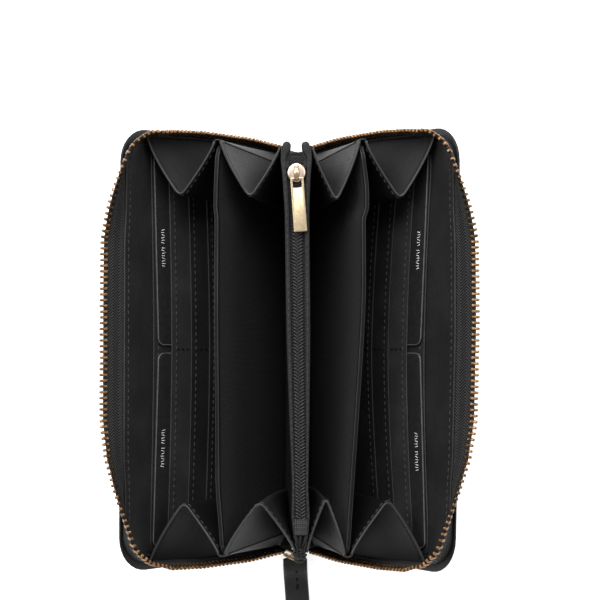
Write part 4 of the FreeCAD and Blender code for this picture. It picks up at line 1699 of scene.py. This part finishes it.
def main_slider():
    """Two shaped plates skewed across the chain, a wedge, and the arch that carries the ring."""
    low, high = node_box("main_zip_slider")
    ring = joint_place("main_pull_swing")
    height = high.z - low.z
    middle = Vector((ring.x - 0.9, ring.y + 3.0, (low.z + high.z) / 2))
    skew = Matrix.Translation(middle) @ Matrix.Rotation(math.radians(-24), 4, "Z")
    body = Cluster()
    for offset in (-1.35, 1.35):
        vertices, faces = rounded_box_data((8.6, 0.95, height), 0.3)
        shaped = []
        for vertex in vertices:
            taper = 0.74 + 0.26 * smooth((vertex.z / height + 0.5) * 1.5)
            shaped.append(Vector((vertex.x * taper, vertex.y + offset, vertex.z)))
        body.add(placed(shaped, skew), faces)
    vertices, faces = rounded_box_data((2.2, 2.6, 3.0), 0.5)
    body.add(placed(vertices, skew @ Matrix.Translation(Vector((0, 0, 3.2)))), faces)
    arch = []
    for step in range(17):
        t = step / 16
        y = ring.y + 1.5 - 2.9 * math.sin(math.pi * t) ** 0.6
        arch.append(Vector((ring.x, y, ring.z - 2.5 + 4.2 * t)))
    body.add(*tube_data(arch, 0.6, 12, flat=1.4, up=Vector((1, 0, 0))))
    piece = body.piece("main_slider_body", "old_gold")
    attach(piece, "root")
    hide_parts("main_zip_slider")


def pull_ring():
    """The square wire ring through the slider's arch, with rounded corners."""
    ring = joint_place("main_pull_swing")
    slope = math.radians(35)
    loop = []
    corners = [(-3.6, 0.0), (3.6, 0.0), (3.6, 5.0), (-3.6, 5.0)]
    for (x, out), ahead in zip(corners, corners[1:] + corners[:1]):
        for t in np.linspace(0.12, 0.88, 7):
            reach = out + (ahead[1] - out) * t
            loop.append(Vector((
                ring.x + x + (ahead[0] - x) * t,
                ring.y - reach * math.cos(slope), ring.z - reach * math.sin(slope))))
    up = Vector((0, math.sin(slope), -math.cos(slope)))
    wire = tube_piece("main_pull_wire", "old_gold", loop, RING_WIRE, 10, closed=True, up=up)
    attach(wire, "main_pull")
    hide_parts("main_pull_ring")


def pull_strap():
    """The leather strap folded round the ring, lying down to the ground, and its big stitches."""
    ring = joint_place("main_pull_swing")
    low, high = node_box("main_pull_strap")
    half_width = (high.x - low.x) / 2
    line = [
        (ring.y + 0.8, ring.z + 1.0), (ring.y - 2.2, ring.z + 0.6), (ring.y - 5.2, ring.z - 1.8),
        (ring.y - 8.2, ring.z - 4.6), (ring.y - 11.5, 2.0), (ring.y - 15.5, 1.35)]
    line += [(y, 1.15) for y in np.linspace(ring.y - 21.0, low.y + 0.6, 14)]

    def centre(y):
        return (low.x + high.x) / 2 + 0.2 + 1.4 * smooth((ring.y - y) / 28)

    def at(place, across):
        y, z = place
        x = centre(y) + across * (half_width - 0.35)
        return Vector((x, y, z + 0.14 * (1 - across ** 2))), (y, half_width * across)

    points, uv = surface(line, np.linspace(-1, 1, 11), at)
    strap = sheet("main_pull_leather", points, STRAP_THICK, "strap", uv)
    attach(strap, "main_pull")
    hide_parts("main_pull_strap")

    def top(y):
        return float(np.interp(-y, [-place[0] for place in line], [place[1] for place in line])) + 1.1

    stitches = Cluster()
    shape = [Vector((0, -1.1, -0.1)), Vector((0, -0.7, 0.12)), Vector((0, 0.7, 0.12)), Vector((0, 1.1, -0.1))]
    vertices, faces = tube_data(shape, 0.65, 8, flat=0.5)
    for index in range(3):
        y = ring.y - 5.4 - 3.8 * index
        tilt = math.atan2(top(y - 1) - top(y), -1)
        turn = Matrix.Rotation(tilt + math.pi, 4, "X")
        place = Matrix.Translation(Vector((centre(y) + 0.5, y, top(y)))) @ turn
        stitches.add(placed(vertices, place), faces)
    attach(stitches.piece("main_pull_stitches", "dark_thread"), "main_pull")


# Hidden parts that keep their CAD shape

def finish_carried_nodes():
    """Gives the spine's board and the pocket's floor their materials."""
    for node, finish in (("spine_board", "board"), ("coin_pocket_floor", "inner")):
        mesh = frame["nodes"][node].data
        mesh.materials.clear()
        mesh.materials.append(MATERIALS[finish])


# Setting

def camera():
    """Looks down from above the spine, a long way off and turned a little from straight down."""
    data = bpy.data.cameras.new("camera")
    data.sensor_width = 36.0
    data.lens = 102.1
    data.clip_end = 10.0
    view = bpy.data.objects.new("camera", data)
    view.location = (0.001, 0.0, 0.82)
    view.rotation_euler = (math.radians(1.65), 0, 0)
    bpy.context.scene.collection.objects.link(view)
    bpy.context.scene.camera = view


def light(name, position, size, power):
    """A round soft light aimed at the wallet."""
    data = bpy.data.lights.new(name, "AREA")
    data.shape = "DISK"
    data.size = size
    data.energy = power
    lamp = bpy.data.objects.new(name, data)
    lamp.location = position
    aim = Vector((0, 0, 0.04)) - Vector(position)
    lamp.rotation_mode = "QUATERNION"
    lamp.rotation_quaternion = aim.to_track_quat("-Z", "Y")
    bpy.context.scene.collection.objects.link(lamp)


def studio():
    """A white floor, one soft light past the coin slider's end, one on each side, and a pale sky."""
    size = 3.0
    mesh = bpy.data.meshes.new("floor")
    corners = [(-size, -size, 0), (size, -size, 0), (size, size, 0), (-size, size, 0)]
    mesh.from_pydata(corners, [], [[0, 1, 2, 3]])
    mesh.materials.append(floor_material())
    floor = bpy.data.objects.new("floor", mesh)
    floor.location.z = -0.0002
    bpy.context.scene.collection.objects.link(floor)
    light("key", (-0.12, 0.8, 0.95), 0.9, 15.0)
    light("fill_right", (0.85, 0.35, 0.85), 0.8, 3.5)
    light("fill_left", (-0.85, 0.35, 0.85), 0.8, 6.5)
    world = bpy.data.worlds.new("surround")
    world.use_nodes = True
    background = world.node_tree.nodes["Background"]
    background.inputs["Color"].default_value = (1.0, 1.0, 1.0, 1.0)
    background.inputs["Strength"].default_value = 0.38
    bpy.context.scene.world = world
    bpy.context.scene.view_settings.view_transform = "Standard"


camera()
studio()
finish_carried_nodes()
spine_lining()
for name in SIDES:
    outer_leather(name)
    cover_board(name)
    inner_panel(name)
    card_slots(name)
    for end in ENDS:
        card(name, end)
    divider_layers(name)
    divider_binding(name)
    for end in ENDS:
        gussets(name, end)
    main_zip(name)
    coin_pocket_wall(name)
    coin_pocket_roll(name)
    coin_zip_tape(name)
    coin_zip_coil(name)
coin_zip_stop()
coin_pocket_pleats()
coin_pocket_knot()
coin_pocket_tape_ends()
coin_pocket_end_flap()
coin_pocket_end_walls()
coin_slider()
coin_pull()
main_slider()
pull_ring()
pull_strap()
